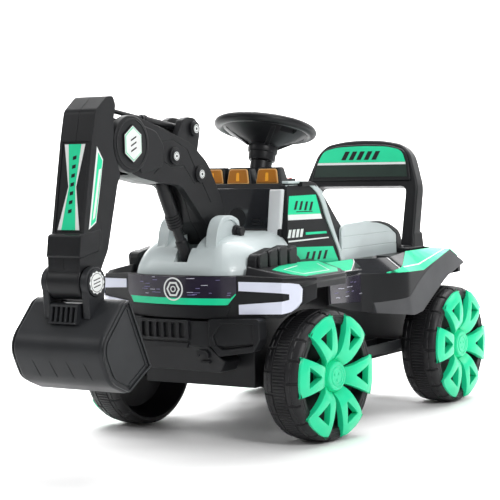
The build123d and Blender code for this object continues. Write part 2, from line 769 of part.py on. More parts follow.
def back_plane(outset):
    """Plane of the seat back's front face: local x is +X, local y climbs the lean, normal towards the nose."""
    rise = cos(radians(back_lean))
    lean = sin(radians(back_lean))
    origin = (0, front_axle_y + back_foot[0] - outset * rise, back_foot[1] + outset * lean)
    return Plane(origin=origin, x_dir=(1, 0, 0), z_dir=(0, -rise, lean))


with BuildPart() as seat_back:
    with BuildSketch(back_plane(-back_depth)):
        with BuildLine():
            Line((-back_half, -12), (-back_half, back_waist))
            Line((-back_half, back_waist), (-back_crown[0], back_crown[1]))
            ThreePointArc((-back_crown[0], back_crown[1]), (0, back_height), back_crown)
            Line(back_crown, (back_half, back_waist))
            Line((back_half, back_waist), (back_half, -12))
            Line((back_half, -12), (-back_half, -12))
        make_face()
        with Locations((0, 68)):
            RectangleRounded(2 * (back_half - back_post), 102, 12, mode=Mode.SUBTRACT)
        with Locations((0, -12)):
            Rectangle(2 * (back_half - back_post), 32, mode=Mode.SUBTRACT)
    extrude(amount=back_depth)
    with BuildSketch(back_plane(-back_depth)):
        with Locations((0, 158)):
            RectangleRounded(170, 52, 12)
    extrude(amount=back_depth - 8, mode=Mode.SUBTRACT)
    add(prism(body_profile, -body_half, body_half), mode=Mode.SUBTRACT)
save(seat_back.part, "seat_back")

with BuildPart() as seat_back_panel:
    with BuildSketch(back_plane(0)):
        with BuildLine():
            Polyline((-88, 186), (-100, 164), (-102, 133), (102, 133), (100, 164), (88, 186))
            ThreePointArc((88, 186), (0, 199), (-88, 186))
        make_face()
    extrude(amount=3)
save(seat_back_panel.part, "seat_back_panel")

# ---- boom: two shells on a steel pin ----
knuckle_radius = 45.0
knuckle_clear = knuckle_radius + 4
tongue_half = 15.0
clevis_pin_half = 22.0
stick_pin_radius = 7.0
boom_hub = ear_inner - free_gap
boom_profile = [(-283, 545), (-262, 540), (-250, 537), (-200, 525), (-118, 499), (-72, 466), (-45, 424), (-22, 378),
                (-13, 350), (-20, 334), (-38, 326), (-56, 334), (-60, 350), (-100, 390), (-150, 431),
                (-206, 436), (-262, 447), (-283, 455)]
boom_cavity = [(-240, 531), (-201, 521), (-120, 495), (-75, 463), (-48, 422), (-27, 380), (-56, 360),
               (-98, 395), (-148, 435), (-206, 440), (-240, 446)]
bracket_profile = [(-160, 512), (-146, 541), (-116, 541), (-92, 536), (-82, 522), (-84, 500), (-92, 486)]
boss_places = ((-168.0, 479.0), (-97.0, 448.0))
boss_radius = 13.0
boss_height = 3.0
badge_size = 28.0

with BuildPart() as boom_half_shell:
    add(prism(boom_profile, 0, boom_half))
    add(disc(stick_pivot, knuckle_radius, 0, boom_half + 3))
    add(prism(boom_cavity, -1, boom_half - thin), mode=Mode.SUBTRACT)
    add(prism(bracket_profile, 8, 24))
    add(disc(stick_ram_foot, boss_radius, 8, 26))
    for place in boss_places:
        add(disc(place, boss_radius, boom_half - thin, boom_half + boss_height))
    add(prism(boom_cavity, -1, boom_half - thin), mode=Mode.SUBTRACT)
    add(disc(boom_pivot, boom_hub_radius, 0, boom_hub))
    add(disc(boom_pivot, boom_pin_radius + running_fit, -1, boom_hub + 1), mode=Mode.SUBTRACT)
    add(disc(stick_pivot, knuckle_clear, -1, tongue_half + 1), mode=Mode.SUBTRACT)
    add(disc(stick_pivot, stick_pin_radius, 0, boom_half + 4), mode=Mode.SUBTRACT)
    add(disc(stick_ram_foot, ram_pin_radius + running_fit, 0, clevis_pin_half), mode=Mode.SUBTRACT)
    add(prism([(-196, 425), (-196, 445), (-128, 445), (-128, 400)], -1, 15), mode=Mode.SUBTRACT)
save(boom_half_shell.part, "boom_shell_left")
save(mirrored(boom_half_shell.part), "boom_shell_right")

with BuildPart() as boom_badges:
    for x in (boom_half + 3, -boom_half - 3 - 2):
        with BuildSketch(side(x)):
            with Locations(stick_pivot):
                RegularPolygon(badge_size, 6, rotation=30)
        extrude(amount=2)
save(boom_badges.part, "boom_badges")

with BuildPart() as stick_pin:
    add(disc(stick_pivot, stick_pin_radius, -boom_half - 3, boom_half + 3))
save(stick_pin.part, "stick_pin")

# ---- stick ----
stick_profile = [(-343, 574), (-372, 552), (-382, 507), (-384, 505), (-409, 369), (-417, 366), (-422, 332),
                 (-417, 330), (-422, 303), (-400, 293), (-372, 300), (-351, 339), (-322, 440), (-314, 452),
                 (-322, 470), (-330, 500), (-328, 540), (-322, 560), (-328, 574)]
stick_cavity = [(-345, 569), (-367, 550), (-377, 507), (-404, 369), (-410, 340), (-400, 326), (-366, 326),
                (-355, 341), (-326, 441), (-319, 452), (-326, 470), (-335, 500), (-333, 540), (-327, 560),
                (-330, 569)]
barrel_radius = 27.0
bucket_pin_radius = 7.0
with BuildPart() as stick_half_shell:
    add(prism(stick_profile, 0, stick_half))
    add(disc(bucket_pivot, barrel_radius, 0, stick_half))
    add(disc(stick_pivot, knuckle_radius + 3, -1, stick_half + 1), mode=Mode.SUBTRACT)
    add(prism([(-340, 484), (-340, 516), (-283, 516), (-283, 484)], 0, tongue_half))
    add(disc(stick_pivot, 22, 0, tongue_half))
    add(prism(stick_cavity, -1, stick_half - thin), mode=Mode.SUBTRACT)
    add(prism([(-346, 540), (-346, 566), (-334, 575), (-315, 590), (-315, 534)], -1, 9), mode=Mode.SUBTRACT)
    add(prism([(-384, 505), (-410, 367), (-403, 367), (-377, 505)], -1, 25), mode=Mode.SUBTRACT)
    add(disc(stick_pivot, stick_pin_radius + running_fit, -1, stick_half), mode=Mode.SUBTRACT)
    add(disc(bucket_pivot, bucket_pin_radius, -1, stick_half + 1), mode=Mode.SUBTRACT)
save(stick_half_shell.part, "stick_shell_left")
save(mirrored(stick_half_shell.part), "stick_shell_right")

with BuildPart() as stick_front_plate:
    add(prism([(-382, 505), (-408, 367), (-404, 367), (-378, 505)], -25, 25))
save(stick_front_plate.part, "stick_front_plate")

ear_thickness = 13.0
bucket_ear_in = stick_half + free_gap
bucket_ear_out = bucket_ear_in + ear_thickness
with BuildPart() as bucket_pin:
    add(disc(bucket_pivot, bucket_pin_radius, -bucket_ear_out + 1, bucket_ear_out - 1))
save(bucket_pin.part, "bucket_pin")

# ---- bucket ----
bucket_wall = 4.0
bucket_outer = [(-376, 268), (-392, 264), (-440, 216), (-453, 200), (-448, 186), (-425, 143), (-383, 124),
                (-323, 159)]
bucket_inner = [(-372, 262), (-389, 259), (-436, 213), (-448, 199), (-444, 187), (-422, 147), (-385, 129),
                (-383, 124), (-323, 159)]
with BuildPart() as bucket:
    add(prism(bucket_outer, -bucket_half, bucket_half))
    add(prism([(-374, 270), (-374, 263), (-389, 259), (-436, 213), (-448, 199), (-444, 187), (-422, 147),
               (-385, 129), (-379, 120), (-310, 158)], -bucket_half + bucket_wall, bucket_half - bucket_wall),
        mode=Mode.SUBTRACT)
    for sign in (1, -1):
        low, high = sorted((sign * bucket_ear_in, sign * bucket_ear_out))
        add(disc(bucket_pivot, 24, low, high))
        add(prism([(-419, 280), (-416, 237), (-380, 264.5), (-381, 280)], low, high))
        low, high = sorted((sign * bucket_half, sign * (bucket_half + 3)))
        add(prism([(-376, 268), (-392, 264), (-453, 200), (-425, 143), (-383, 124), (-323, 159), (-331, 159),
                   (-384, 130), (-421, 148), (-445, 200), (-389, 258), (-378, 262)], low, high))
        add(disc(bucket_pivot, bucket_pin_radius + running_fit, -60, 60), mode=Mode.SUBTRACT)
    add(prism([(-432, 262), (-437.5, 216), (-413, 240), (-405, 248), (-402, 262)], -27, 27))
    for slot in range(4):
        x = -20 + slot * 12
        add(prism([(-445, 258), (-445, 240), (-428, 240), (-424, 258)], x, x + 5), mode=Mode.SUBTRACT)
    add(disc(bucket_pivot, barrel_radius + free_gap, -stick_half, stick_half), mode=Mode.SUBTRACT)
save(bucket.part, "bucket")

with BuildPart() as bucket_hub_caps:
    for low, high in ((bucket_ear_out, bucket_ear_out + 3), (-bucket_ear_out - 3, -bucket_ear_out)):
        add(disc(bucket_pivot, 21, low, high))
save(bucket_hub_caps.part, "bucket_hub_caps")

# ---- dummy hydraulic rams ----
boom_sleeve_radius = 10.5
boom_rod_radius = 8.0
stick_sleeve_radius = 5.6
stick_rod_radius = 3.8


def ram_rod(foot, head, radius, start, end, eye_half):
    """Rod along a ram, from start to end measured from the foot; eye_half sets the foot pin's reach."""
    with BuildPart() as rod:
        with BuildSketch(frame_at(foot, head).offset(start)):
            Circle(radius)
        extrude(amount=end - start)
        if eye_half:
            add(disc(foot, ram_pin_radius, -eye_half, eye_half))
    return rod.part


def ram_sleeve(foot, head, outer, bore, start, end, collars):
    """Sleeve along a ram with raised collars and an open bore at its near end."""
    with BuildPart() as sleeve:
        with BuildSketch(frame_at(foot, head).offset(start)):
            Circle(outer)
        extrude(amount=end - start)
        for place, width in collars:
            with BuildSketch(frame_at(foot, head).offset(place)):
                Circle(outer + 1.8)
            extrude(amount=width)
        with BuildSketch(frame_at(foot, head).offset(start)):
            Circle(bore)
        extrude(amount=end - start - 6, mode=Mode.SUBTRACT)
    return sleeve.part


boom_ram_length = distance(boom_ram_foot, boom_ram_head)
stick_ram_length = distance(stick_ram_foot, stick_ram_head)
save(ram_rod(boom_ram_foot, boom_ram_head, boom_rod_radius, 2, 128, ram_slot + ram_lug), "boom_ram_rod")
save(ram_sleeve(boom_ram_foot, boom_ram_head, boom_sleeve_radius, boom_rod_radius + 0.1, 88,
                boom_ram_length + 4, ((88, 6), (98, 3), (105, 3))), "boom_ram_sleeve")

with BuildPart() as stick_ram_sleeve:
    add(ram_sleeve(stick_ram_head, stick_ram_foot, stick_sleeve_radius, stick_rod_radius + 0.1,
                   stick_ram_length - 118, stick_ram_length, ((stick_ram_length - 118, 4),)))
    add(disc(stick_ram_foot, ram_pin_radius, -clevis_pin_half, clevis_pin_half))
save(stick_ram_sleeve.part, "stick_ram_sleeve")
save(ram_rod(stick_ram_head, stick_ram_foot, stick_rod_radius, -4, stick_ram_length - 72, 0), "stick_ram_rod")

# ---- controls ----
with BuildPart() as foot_pedal:
    add(prism([(228, 134), (228, 142), (190, 152), (186, 148)], pedal_right, pedal_left))
    add(disc(pedal_pivot, 6, pedal_right, pedal_left))
    add(disc(pedal_pivot, pedal_pin_radius, pedal_right - 4, pedal_left + 4))
save(foot_pedal.part, "foot_pedal")


def rocker(x):
    """A rocker switch's paddle on its trunnions, in the bezel at x."""
    y, z = switch_pivot
    with BuildPart() as paddle:
        add(prism([(y - 11.5, z + 4), (y - 11.5, z - 1), (y - 6, z - 5), (y + 6, z - 5), (y + 11.5, z - 1),
                   (y + 11.5, z + 4), (y, z + 2)], x - switch_half, x + switch_half))
        add(disc(switch_pivot, switch_pin, x - switch_half - 2, x + switch_half + 2))
    return paddle.part


save(rocker(switch_x), "power_switch")
save(rocker(-switch_x), "direction_switch")

with BuildPart() as charge_socket:
    add(disc(socket_place, socket_flange, -seat_half - 2, -seat_half))
    add(disc(socket_place, socket_barrel, -seat_half, -seat_half + socket_depth))
    add(disc(socket_place, jack_radius, -seat_half - 2, -seat_half - 2 + jack_length), mode=Mode.SUBTRACT)
save(charge_socket.part, "charge_socket")
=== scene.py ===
import json
import random
from math import cos, pi, radians, sin

import bmesh
import bpy
from mathutils import Matrix, Vector


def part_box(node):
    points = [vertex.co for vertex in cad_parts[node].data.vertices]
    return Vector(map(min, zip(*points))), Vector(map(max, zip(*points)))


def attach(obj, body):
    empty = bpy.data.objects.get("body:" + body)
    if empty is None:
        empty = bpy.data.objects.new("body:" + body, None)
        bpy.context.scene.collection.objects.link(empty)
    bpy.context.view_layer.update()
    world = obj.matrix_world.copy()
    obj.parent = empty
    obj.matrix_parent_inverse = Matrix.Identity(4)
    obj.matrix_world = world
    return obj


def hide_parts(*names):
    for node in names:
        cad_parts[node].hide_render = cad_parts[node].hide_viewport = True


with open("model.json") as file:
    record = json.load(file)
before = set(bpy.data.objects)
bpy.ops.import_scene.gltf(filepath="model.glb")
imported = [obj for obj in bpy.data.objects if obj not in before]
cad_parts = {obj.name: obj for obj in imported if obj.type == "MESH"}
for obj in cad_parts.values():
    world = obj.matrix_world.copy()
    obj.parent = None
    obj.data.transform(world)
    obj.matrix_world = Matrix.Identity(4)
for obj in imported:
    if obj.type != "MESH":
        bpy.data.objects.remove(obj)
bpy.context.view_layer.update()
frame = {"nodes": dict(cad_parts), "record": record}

scene = bpy.context.scene
scene.view_settings.view_transform = "Standard"

MM = 0.001
axle_y = sum(p.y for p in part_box("kingpins")) / 2      # front axle, metres along +Y
REC = frame["record"]
SIDES = ((1, "left"), (-1, "right"))

# millimetres, as in the CAD model
WHEELBASE, HALF_TRACK, WHEEL_RADIUS = 467, 190, 110
KINGPIN_X, KINGPIN_TRAIL = 132, 5
REST_STEER = -5.48             # degrees that the front wheels stand turned


# ---- camera, lights and floor ----
CAMERA_PLACE = (1.5787, -2.3873, 0.4915)       # metres
CAMERA_TURN = (-0.5782, 0.0631, -0.0239)       # radians: yaw, pitch and roll
CAMERA_LENS = 117.84
SWEEP_YAW = -0.578                             # the sweep faces the camera


def make_camera():
    data = bpy.data.cameras.new("camera")
    data.lens, data.sensor_width = CAMERA_LENS, 36
    cam = bpy.data.objects.new("camera", data)
    scene.collection.objects.link(cam)
    yaw, pitch, roll = CAMERA_TURN
    forward = Vector((sin(yaw) * cos(pitch), cos(yaw) * cos(pitch), -sin(pitch)))
    right = forward.cross(Vector((0, 0, 1))).normalized()
    up = right.cross(forward)
    side_dir = right * cos(roll) + up * sin(roll)
    up_dir = -right * sin(roll) + up * cos(roll)
    turn = Matrix((side_dir, up_dir, -forward)).transposed().to_4x4()
    cam.matrix_world = Matrix.Translation(CAMERA_PLACE) @ turn
    data.clip_start, data.clip_end = 0.05, 50
    scene.camera = cam


def area_light(name, place, target, size, power):
    data = bpy.data.lights.new(name, "AREA")
    data.shape = "RECTANGLE"
    data.size, data.size_y = size
    data.energy = power
    lamp = bpy.data.objects.new(name, data)
    scene.collection.objects.link(lamp)
    lamp.location = place
    lamp.rotation_euler = (Vector(target) - Vector(place)).to_track_quat("-Z", "Y").to_euler()


make_camera()
area_light("key", (2.9, -1.3, 2.2), (0, 0, 0.25), (1.0, 1.0), 60)
area_light("fill", (-2.6, -2.2, 2.2), (0, -0.1, 0.25), (0.8, 0.8), 14)
area_light("top", (0, 0.2, 3.0), (0, 0, 0.2), (2.4, 2.4), 52)
area_light("rim", (1.6, 2.4, 1.5), (0, 0, 0.3), (1.4, 1.0), 14)
area_light("backdrop", (-0.9, 1.4, 3.4), (-2.6, 4.2, 0.6), (4.0, 2.0), 380)

world = bpy.data.worlds.new("studio")
scene.world = world
world.use_nodes = True
world.node_tree.nodes["Background"].inputs["Color"].default_value = (1, 1, 1, 1)
world.node_tree.nodes["Background"].inputs["Strength"].default_value = 0.26


# ---- materials ----
GRAIN_SCALE = 900.0            # cells for each metre


class Nodes:
    """Small helper that wires a Principled material."""

    def __init__(self, name):
        self.mat = bpy.data.materials.new(name)
        self.mat.use_nodes = True
        self.tree = self.mat.node_tree
        self.shader = self.tree.nodes["Principled BSDF"]
        self.coord = self.tree.nodes.new("ShaderNodeTexCoord").outputs["Object"]

    def add(self, kind, **values):
        node = self.tree.nodes.new(kind)
        for key, value in values.items():
            if hasattr(node, key):
                setattr(node, key, value)
            else:
                node.inputs[key].default_value = value
        return node

    def link(self, source, target):
        self.tree.links.new(source, target)

    def noise(self, scale, detail):
        node = self.add("ShaderNodeTexNoise", Scale=scale, Detail=detail)
        self.link(self.coord, node.inputs["Vector"])
        return node.outputs["Fac"]

    def ramp(self, source, stops):
        node = self.add("ShaderNodeValToRGB")
        elements = node.color_ramp.elements
        while len(elements) < len(stops):
            elements.new(0.5)
        for element, (place, colour) in zip(elements, stops):
            element.position = place
            element.color = (*colour, 1)
        self.link(source, node.inputs["Fac"])
        return node.outputs["Color"]

    def spread(self, source, low, high):
        node = self.add("ShaderNodeMapRange", **{"To Min": low, "To Max": high})
        self.link(source, node.inputs["Value"])
        return node.outputs["Result"]

    def bump(self, source, strength, distance):
        node = self.add("ShaderNodeBump", Strength=strength, Distance=distance)
        self.link(source, node.inputs["Height"])
        self.link(node.outputs["Normal"], self.shader.inputs["Normal"])


def plastic(name, colour, rough, grain=0.15, tone=0.12, coat=0, metal=0, shine=0.5):
    """Moulded plastic: faint tone drift, fine grain and uneven gloss."""
    m = Nodes(name)
    dark = tuple(c * (1 - tone) for c in colour)
    light = tuple(min(1.0, c * (1 + tone) + 0.002) for c in colour)
    m.link(m.ramp(m.noise(14.0, 4.0), [(0.3, dark), (0.7, light)]), m.shader.inputs["Base Color"])
    m.link(m.spread(m.noise(35.0, 5.0), rough - 0.06, rough + 0.06), m.shader.inputs["Roughness"])
    m.shader.inputs["Metallic"].default_value = metal
    m.shader.inputs["Specular IOR Level"].default_value = shine
    m.shader.inputs["Coat Weight"].default_value = coat
    m.shader.inputs["Coat Roughness"].default_value = 0.08
    m.bump(m.noise(GRAIN_SCALE, 2.0), grain, 0.0002)
    return m.mat


# colour, roughness, grain, drift of tone, clear coat, metal, shine
LOOKS = {
    "black": ((0.0085, 0.009, 0.0105), 0.4, 0.15, 0.12, 0, 0, 0.3),
    "tyre": ((0.01, 0.01, 0.0115), 0.45, 0.25, 0.12, 0, 0, 0.38),
    "green": ((0.012, 0.69, 0.34), 0.34, 0.08, 0.07, 0.2, 0, 0.35),
    "pale": ((0.52, 0.585, 0.59), 0.36, 0.08, 0.05, 0.2, 0, 0.5),
    "bucket": ((0.018, 0.0195, 0.022), 0.42, 0.15, 0.12, 0, 0, 0.32),
    "smoked": ((0.02, 0.016, 0.03), 0.2, 0.02, 0.3, 0.3, 0, 0.5),
    "lamp": ((0.72, 0.75, 0.88), 0.3, 0.03, 0.04, 0.5, 0, 0.5),
    "amber": ((0.42, 0.15, 0.01), 0.3, 0.03, 0.2, 0.15, 0, 0.5),
    "silver": ((0.78, 0.79, 0.81), 0.34, 0.05, 0.05, 0.3, 0.25, 0.5),
    "steel": ((0.55, 0.56, 0.58), 0.3, 0.05, 0.06, 0, 1.0, 0.5),
    "red": ((0.6, 0.03, 0.02), 0.3, 0.15, 0.12, 0, 0, 0.5),
    # next entry: the black plastic made grey, painted sheen for the flared fender rim
    "rim_grey": ((0.07, 0.071, 0.076), 0.5, 0.15, 0.12, 0, 0, 0.5),
    "deep_green": ((0.004, 0.022, 0.014), 0.4, 0.02, 0.2, 0, 0, 0.5),
    "amber_light": ((0.8, 0.48, 0.18), 0.3, 0.02, 0.05, 0, 0, 0.5),
    # next entry: the amber plastic made brighter, painted highlight for the strip down each beacon lens
    "amber_glow": ((0.95, 0.42, 0.03), 0.3, 0.02, 0.05, 0, 0, 0.5),
    "gloss": ((0.014, 0.015, 0.018), 0.16, 0.02, 0.2, 0.6, 0, 0.5),
    "dash_light": ((0.75, 0.74, 0.86), 0.3, 0.02, 0.1, 0, 0, 0.5),
    "dash_violet": ((0.22, 0.2, 0.42), 0.3, 0.02, 0.2, 0, 0, 0.5),
    "white": ((0.82, 0.84, 0.83), 0.35, 0.03, 0.03, 0.2, 0, 0.5),
}
mats = {name: plastic(name, *look) for name, look in LOOKS.items()}
slot_material = {
    "black_plastic": "black", "tyre_plastic": "tyre", "green_plastic": "green", "pale_plastic": "pale",
    "bucket_plastic": "bucket", "smoked_plastic": "smoked", "lamp_plastic": "lamp",
    "amber_plastic": "amber", "silver_plastic": "silver", "steel": "steel", "red_plastic": "red",
}
slot_of = {material: slot for slot, material in slot_material.items()}
# the fender rim's grey colour is painted sheen on black plastic
slot_of |= {"gloss": "black_plastic", "rim_grey": "black_plastic", "white": "lamp_plastic",
    # the bright amber strip is a painted highlight on amber plastic
    "dash_light": "lamp_plastic", "amber_glow": "amber_plastic"}
floor_mat = plastic("floor", (0.96, 0.96, 0.96), 0.7, 0.02, 0.005, shine=0.2)


def make_floor():
    """White sweep: a floor that curves up into a wall behind the object."""
    profile = [(-6.0, 0.0), (-2.0, 0.0), (1.6, 0.0), (2.6, 0.0)]
    profile += [(2.6 + 1.8 * sin(pi / 2 * k / 16), 1.8 - 1.8 * cos(pi / 2 * k / 16)) for k in range(1, 17)]
    profile += [(4.4, 5.0)]
    away = Vector((sin(SWEEP_YAW), cos(SWEEP_YAW), 0))
    across = Vector((cos(SWEEP_YAW), -sin(SWEEP_YAW), 0))
    bm = bmesh.new()
    lines = [[bm.verts.new(away * d + across * w + Vector((0, 0, z))) for d, z in profile]
        for w in (-7, 0, 7)]
    for a, b in zip(lines, lines[1:]):
        for i in range(len(profile) - 1):
            bm.faces.new((a[i], b[i], b[i + 1], a[i + 1])).smooth = True
    mesh = bpy.data.meshes.new("floor")
    bm.to_mesh(mesh)
    bm.free()
    floor = bpy.data.objects.new("floor", mesh)
    scene.collection.objects.link(floor)
    mesh.materials.append(floor_mat)


make_floor()

# ---- mesh helpers (millimetres, y measured behind the front axle) ----
def place(x, y, z):
    return Vector((x * MM, y * MM + axle_y, z * MM))


def add_bevel(obj, width, segments, angle):
    mod = obj.modifiers.new("bevel", "BEVEL")
    mod.width = width * MM
    mod.segments = segments
    mod.limit_method = "ANGLE"
    mod.angle_limit = radians(angle)


def weigh_normals(obj):
    obj.modifiers.new("normals", "WEIGHTED_NORMAL").keep_sharp = True


def smooth_faces(mesh, angle):
    for poly in mesh.polygons:
        poly.use_smooth = True
    mesh.set_sharp_from_angle(angle=radians(angle))


def piece(bm, name, mat="black", hides=(), body="frame", bevel=1.2, segments=2, angle=30,
        smooth=35):
    """Turns a bmesh in metres into a named piece with rounded edges that rides on a body."""
    bmesh.ops.remove_doubles(bm, verts=bm.verts, dist=0.00001)
    bmesh.ops.recalc_face_normals(bm, faces=bm.faces)
    mesh = bpy.data.meshes.new(name)
    bm.to_mesh(mesh)
    bm.free()
    obj = bpy.data.objects.new(name, mesh)
    scene.collection.objects.link(obj)
    names = (mat,) if isinstance(mat, str) else mat
    for each in names:
        mesh.materials.append(mats[each])
    if bevel:
        add_bevel(obj, bevel, segments, angle)
    smooth_faces(mesh, smooth)
    weigh_normals(obj)
    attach(obj, body)
    if hides:
        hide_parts(*hides)
    return obj


def add_prism(bm, low_ring, high_ring, material=0):
    """Closed solid between two rings of points with the same count."""
    low = [bm.verts.new(p) for p in low_ring]
    high = [bm.verts.new(p) for p in high_ring]
    faces = [bm.faces.new(list(reversed(low))), bm.faces.new(high)]
    count = len(low)
    for i in range(count):
        faces.append(bm.faces.new((low[i], low[(i + 1) % count], high[(i + 1) % count], high[i])))
    for face in faces:
        face.material_index = material
    return faces


def side_solid(bm, points, x_low, x_high, material=0):
    return add_prism(bm, [place(x_low, y, z) for y, z in points], [place(x_high, y, z) for y, z in points],
        material)


def front_solid(bm, points, y_low, y_high, material=0):
    return add_prism(bm, [place(x, y_low, z) for x, z in points], [place(x, y_high, z) for x, z in points],
        material)


def plan_solid(bm, points, z_low, z_high, material=0):
    return add_prism(bm, [place(x, y, z_low) for x, y in points], [place(x, y, z_high) for x, y in points],
        material)


def box_solid(bm, x0, x1, y0, y1, z0, z1, material=0):
    return plan_solid(bm, [(x0, y0), (x1, y0), (x1, y1), (x0, y1)], z0, z1, material)


def circle_points(centre, radius, count=48):
    angles = [2 * pi * i / count for i in range(count)]
    return [(centre[0] + radius * cos(a), centre[1] + radius * sin(a)) for a in angles]


def span(low, high, sign):
    """Two x values on one side of the middle, lower one first."""
    return sorted((low * sign, high * sign))


def side_disc(bm, centre, radius, x_low, x_high, count=48, material=0):
    return side_solid(bm, circle_points(centre, radius, count), x_low, x_high, material)


def lathe(bm, profile, count=64, turn=None):
    """Revolves (along, radius) points about the local X axis; turn maps local points to the row frame."""
    rings = []
    for along, radius in profile:
        ring = []
        for i in range(count):
            a = 2 * pi * i / count
            p = Vector((along * MM, radius * cos(a) * MM, radius * sin(a) * MM))
            ring.append(bm.verts.new(turn @ p if turn else p))
        rings.append(ring)
    for a, b in zip(rings, rings[1:]):
        for i in range(count):
            bm.faces.new((a[i], a[(i + 1) % count], b[(i + 1) % count], b[i]))
    for ring in (rings[0], rings[-1]):
        if len({tuple(round(c, 7) for c in v.co) for v in ring}) > 2:
            bm.faces.new(ring)


def swap_mesh(obj, mesh):
    old, name = obj.data, obj.data.name
    obj.data = mesh
    bpy.data.meshes.remove(old)
    mesh.name = name


def evaluated_mesh(obj):
    bpy.context.view_layer.update()
    return bpy.data.meshes.new_from_object(obj.evaluated_get(bpy.context.evaluated_depsgraph_get()))


def apply_modifiers(obj):
    mesh = evaluated_mesh(obj)
    obj.modifiers.clear()
    swap_mesh(obj, mesh)


def cut(obj, cutter_bm):
    """Subtracts a closed solid from a piece's own mesh, before its other modifiers."""
    bmesh.ops.recalc_face_normals(cutter_bm, faces=cutter_bm.faces)
    mesh = bpy.data.meshes.new("cutter")
    cutter_bm.to_mesh(mesh)
    cutter_bm.free()
    tool = bpy.data.objects.new("cutter", mesh)
    scene.collection.objects.link(tool)
    others = [(m, m.show_viewport) for m in obj.modifiers]
    for m, _ in others:
        m.show_viewport = False
    mod = obj.modifiers.new("cut", "BOOLEAN")
    mod.object = tool
    mod.operation = "DIFFERENCE"
    mod.solver = "EXACT"
    result = evaluated_mesh(obj)
    obj.modifiers.remove(mod)
    for m, shown in others:
        m.show_viewport = shown
    bpy.data.objects.remove(tool)
    swap_mesh(obj, result)
    smooth_faces(result, 35)


def made(make, *shape):
    """New bmesh that holds the one solid that a maker such as side_solid gives for a shape."""
    bm = bmesh.new()
    make(bm, *shape)
    return bm


def cut_with(obj, make, *shape):
    cut(obj, made(make, *shape))


# ---- carried-over CAD nodes ----
node_slot = {s["node"]: s["material_slot"] for s in REC["subparts"]}
for name, obj in frame["nodes"].items():
    mat = mats[slot_material[node_slot[name]]]
    for s in obj.material_slots:
        s.material = mat
    weld = obj.modifiers.new("weld", "WELD")
    weld.merge_threshold = 0.00002
    add_bevel(obj, 1.2, 2, 30)


# ---- wheels ----
def corner_matrix(corner):
    """Local wheel frame (outer side towards local +X) to the row frame."""
    sign = -1 if corner.endswith("right") else 1
    flip = Matrix.Diagonal((sign, 1, 1, 1))
    if corner.startswith("rear"):
        return Matrix.Translation(place(sign * HALF_TRACK, WHEELBASE, WHEEL_RADIUS)) @ flip
    pivot = Matrix.Translation((sign * KINGPIN_X * MM, axle_y, 0))
    turn = pivot @ Matrix.Rotation(radians(REST_STEER), 4, "Z") @ pivot.inverted()
    return turn @ Matrix.Translation(place(sign * HALF_TRACK, KINGPIN_TRAIL, WHEEL_RADIUS)) @ flip


def tyre_radius(x, step):
    """Tread surface: fine ribs round the middle, staggered blocks on both shoulders."""
    ax = abs(x)
    crown = 110 - 3.0 * (ax / 30) ** 2 if ax <= 30 else 107 - (ax - 30) * 0.9
    if ax < 12:
        return crown - (1.5 if step % 3 == 0 else 0)
    if ax < 15:
        return crown - 1.6
    shift = 0 if x > 0 else 10
    if ax < 34 and (step + shift) % 20 in (0, 1):
        return crown - 2.4
    if 21 < ax < 23.5 and (step + shift) % 20 not in (9, 10, 11):
        return crown - 1.0
    return crown


def build_tyre(corner):
    """Tread, side wall with raised dashes, hub well and hollow back as one closed section."""
    steps = 360
    half_tread = [6, 11.8, 12.4, 14.5, 15.2, 20.5, 21.5, 23, 24, 30, 33.5]
    tread = [-x for x in reversed(half_tread)] + [0] + half_tread
    plain, dashes = 0.0, 0.9
    section = [(-35.5, 97, plain), (-35.5, 101.5, plain)] + [(x, None, plain) for x in tread]
    section += [(35.5, 101.5, plain), (35.5, 99.5, plain), (36.3, 98.8, plain), (36.3, 98, plain),
        (35.5, 97.4, plain), (35.5, 94.6, plain), (35.5, 94, dashes), (35.5, 92, dashes)]
    section += [(x, r, plain) for x, r in ((35.5, 91.4), (35.2, 87.5), (33.5, 86), (14, 83), (12, 80),
        (11, 55), (12, 24), (26, 23.5), (26.5, 5.3), (-35.5, 5.3), (-35.5, 24), (8, 24), (8, 80),
        (-33, 95))]
    bm = bmesh.new()
    rings = []
    for x, radius, raised in section:
        ring = []
        for i in range(steps):
            a = 2 * pi * i / steps
            r = tyre_radius(x, i) if radius is None else radius
            ring.append(bm.verts.new(((x + (raised if i % 24 < 17 else 0)) * MM, r * cos(a) * MM,
                r * sin(a) * MM)))
        rings.append(ring)
    for a, b in zip(rings, rings[1:] + rings[:1]):
        for i in range(steps):
            j = (i + 1) % steps
            bm.faces.new((a[i], a[j], b[j], b[i]))
    bmesh.ops.transform(bm, matrix=corner_matrix(corner), verts=bm.verts)
    piece(bm, f"tyre_{corner}", "tyre", [f"wheel_{corner}"], body=f"wheel_{corner}", bevel=0)


def cap_height(r):
    """Height of the hub cap's face over the wheel's middle plane."""
    stops = [(20, 27), (26, 31), (34, 39.5), (44, 44.5), (56, 46.5), (74, 46.8), (86, 45.5), (95, 43.4),
        (103.5, 40.2)]
    for (r0, x0), (r1, x1) in zip(stops, stops[1:]):
        if r <= r1:
            return x0 + (x1 - x0) * max(0.0, (r - r0) / (r1 - r0))
    return stops[-1][1]


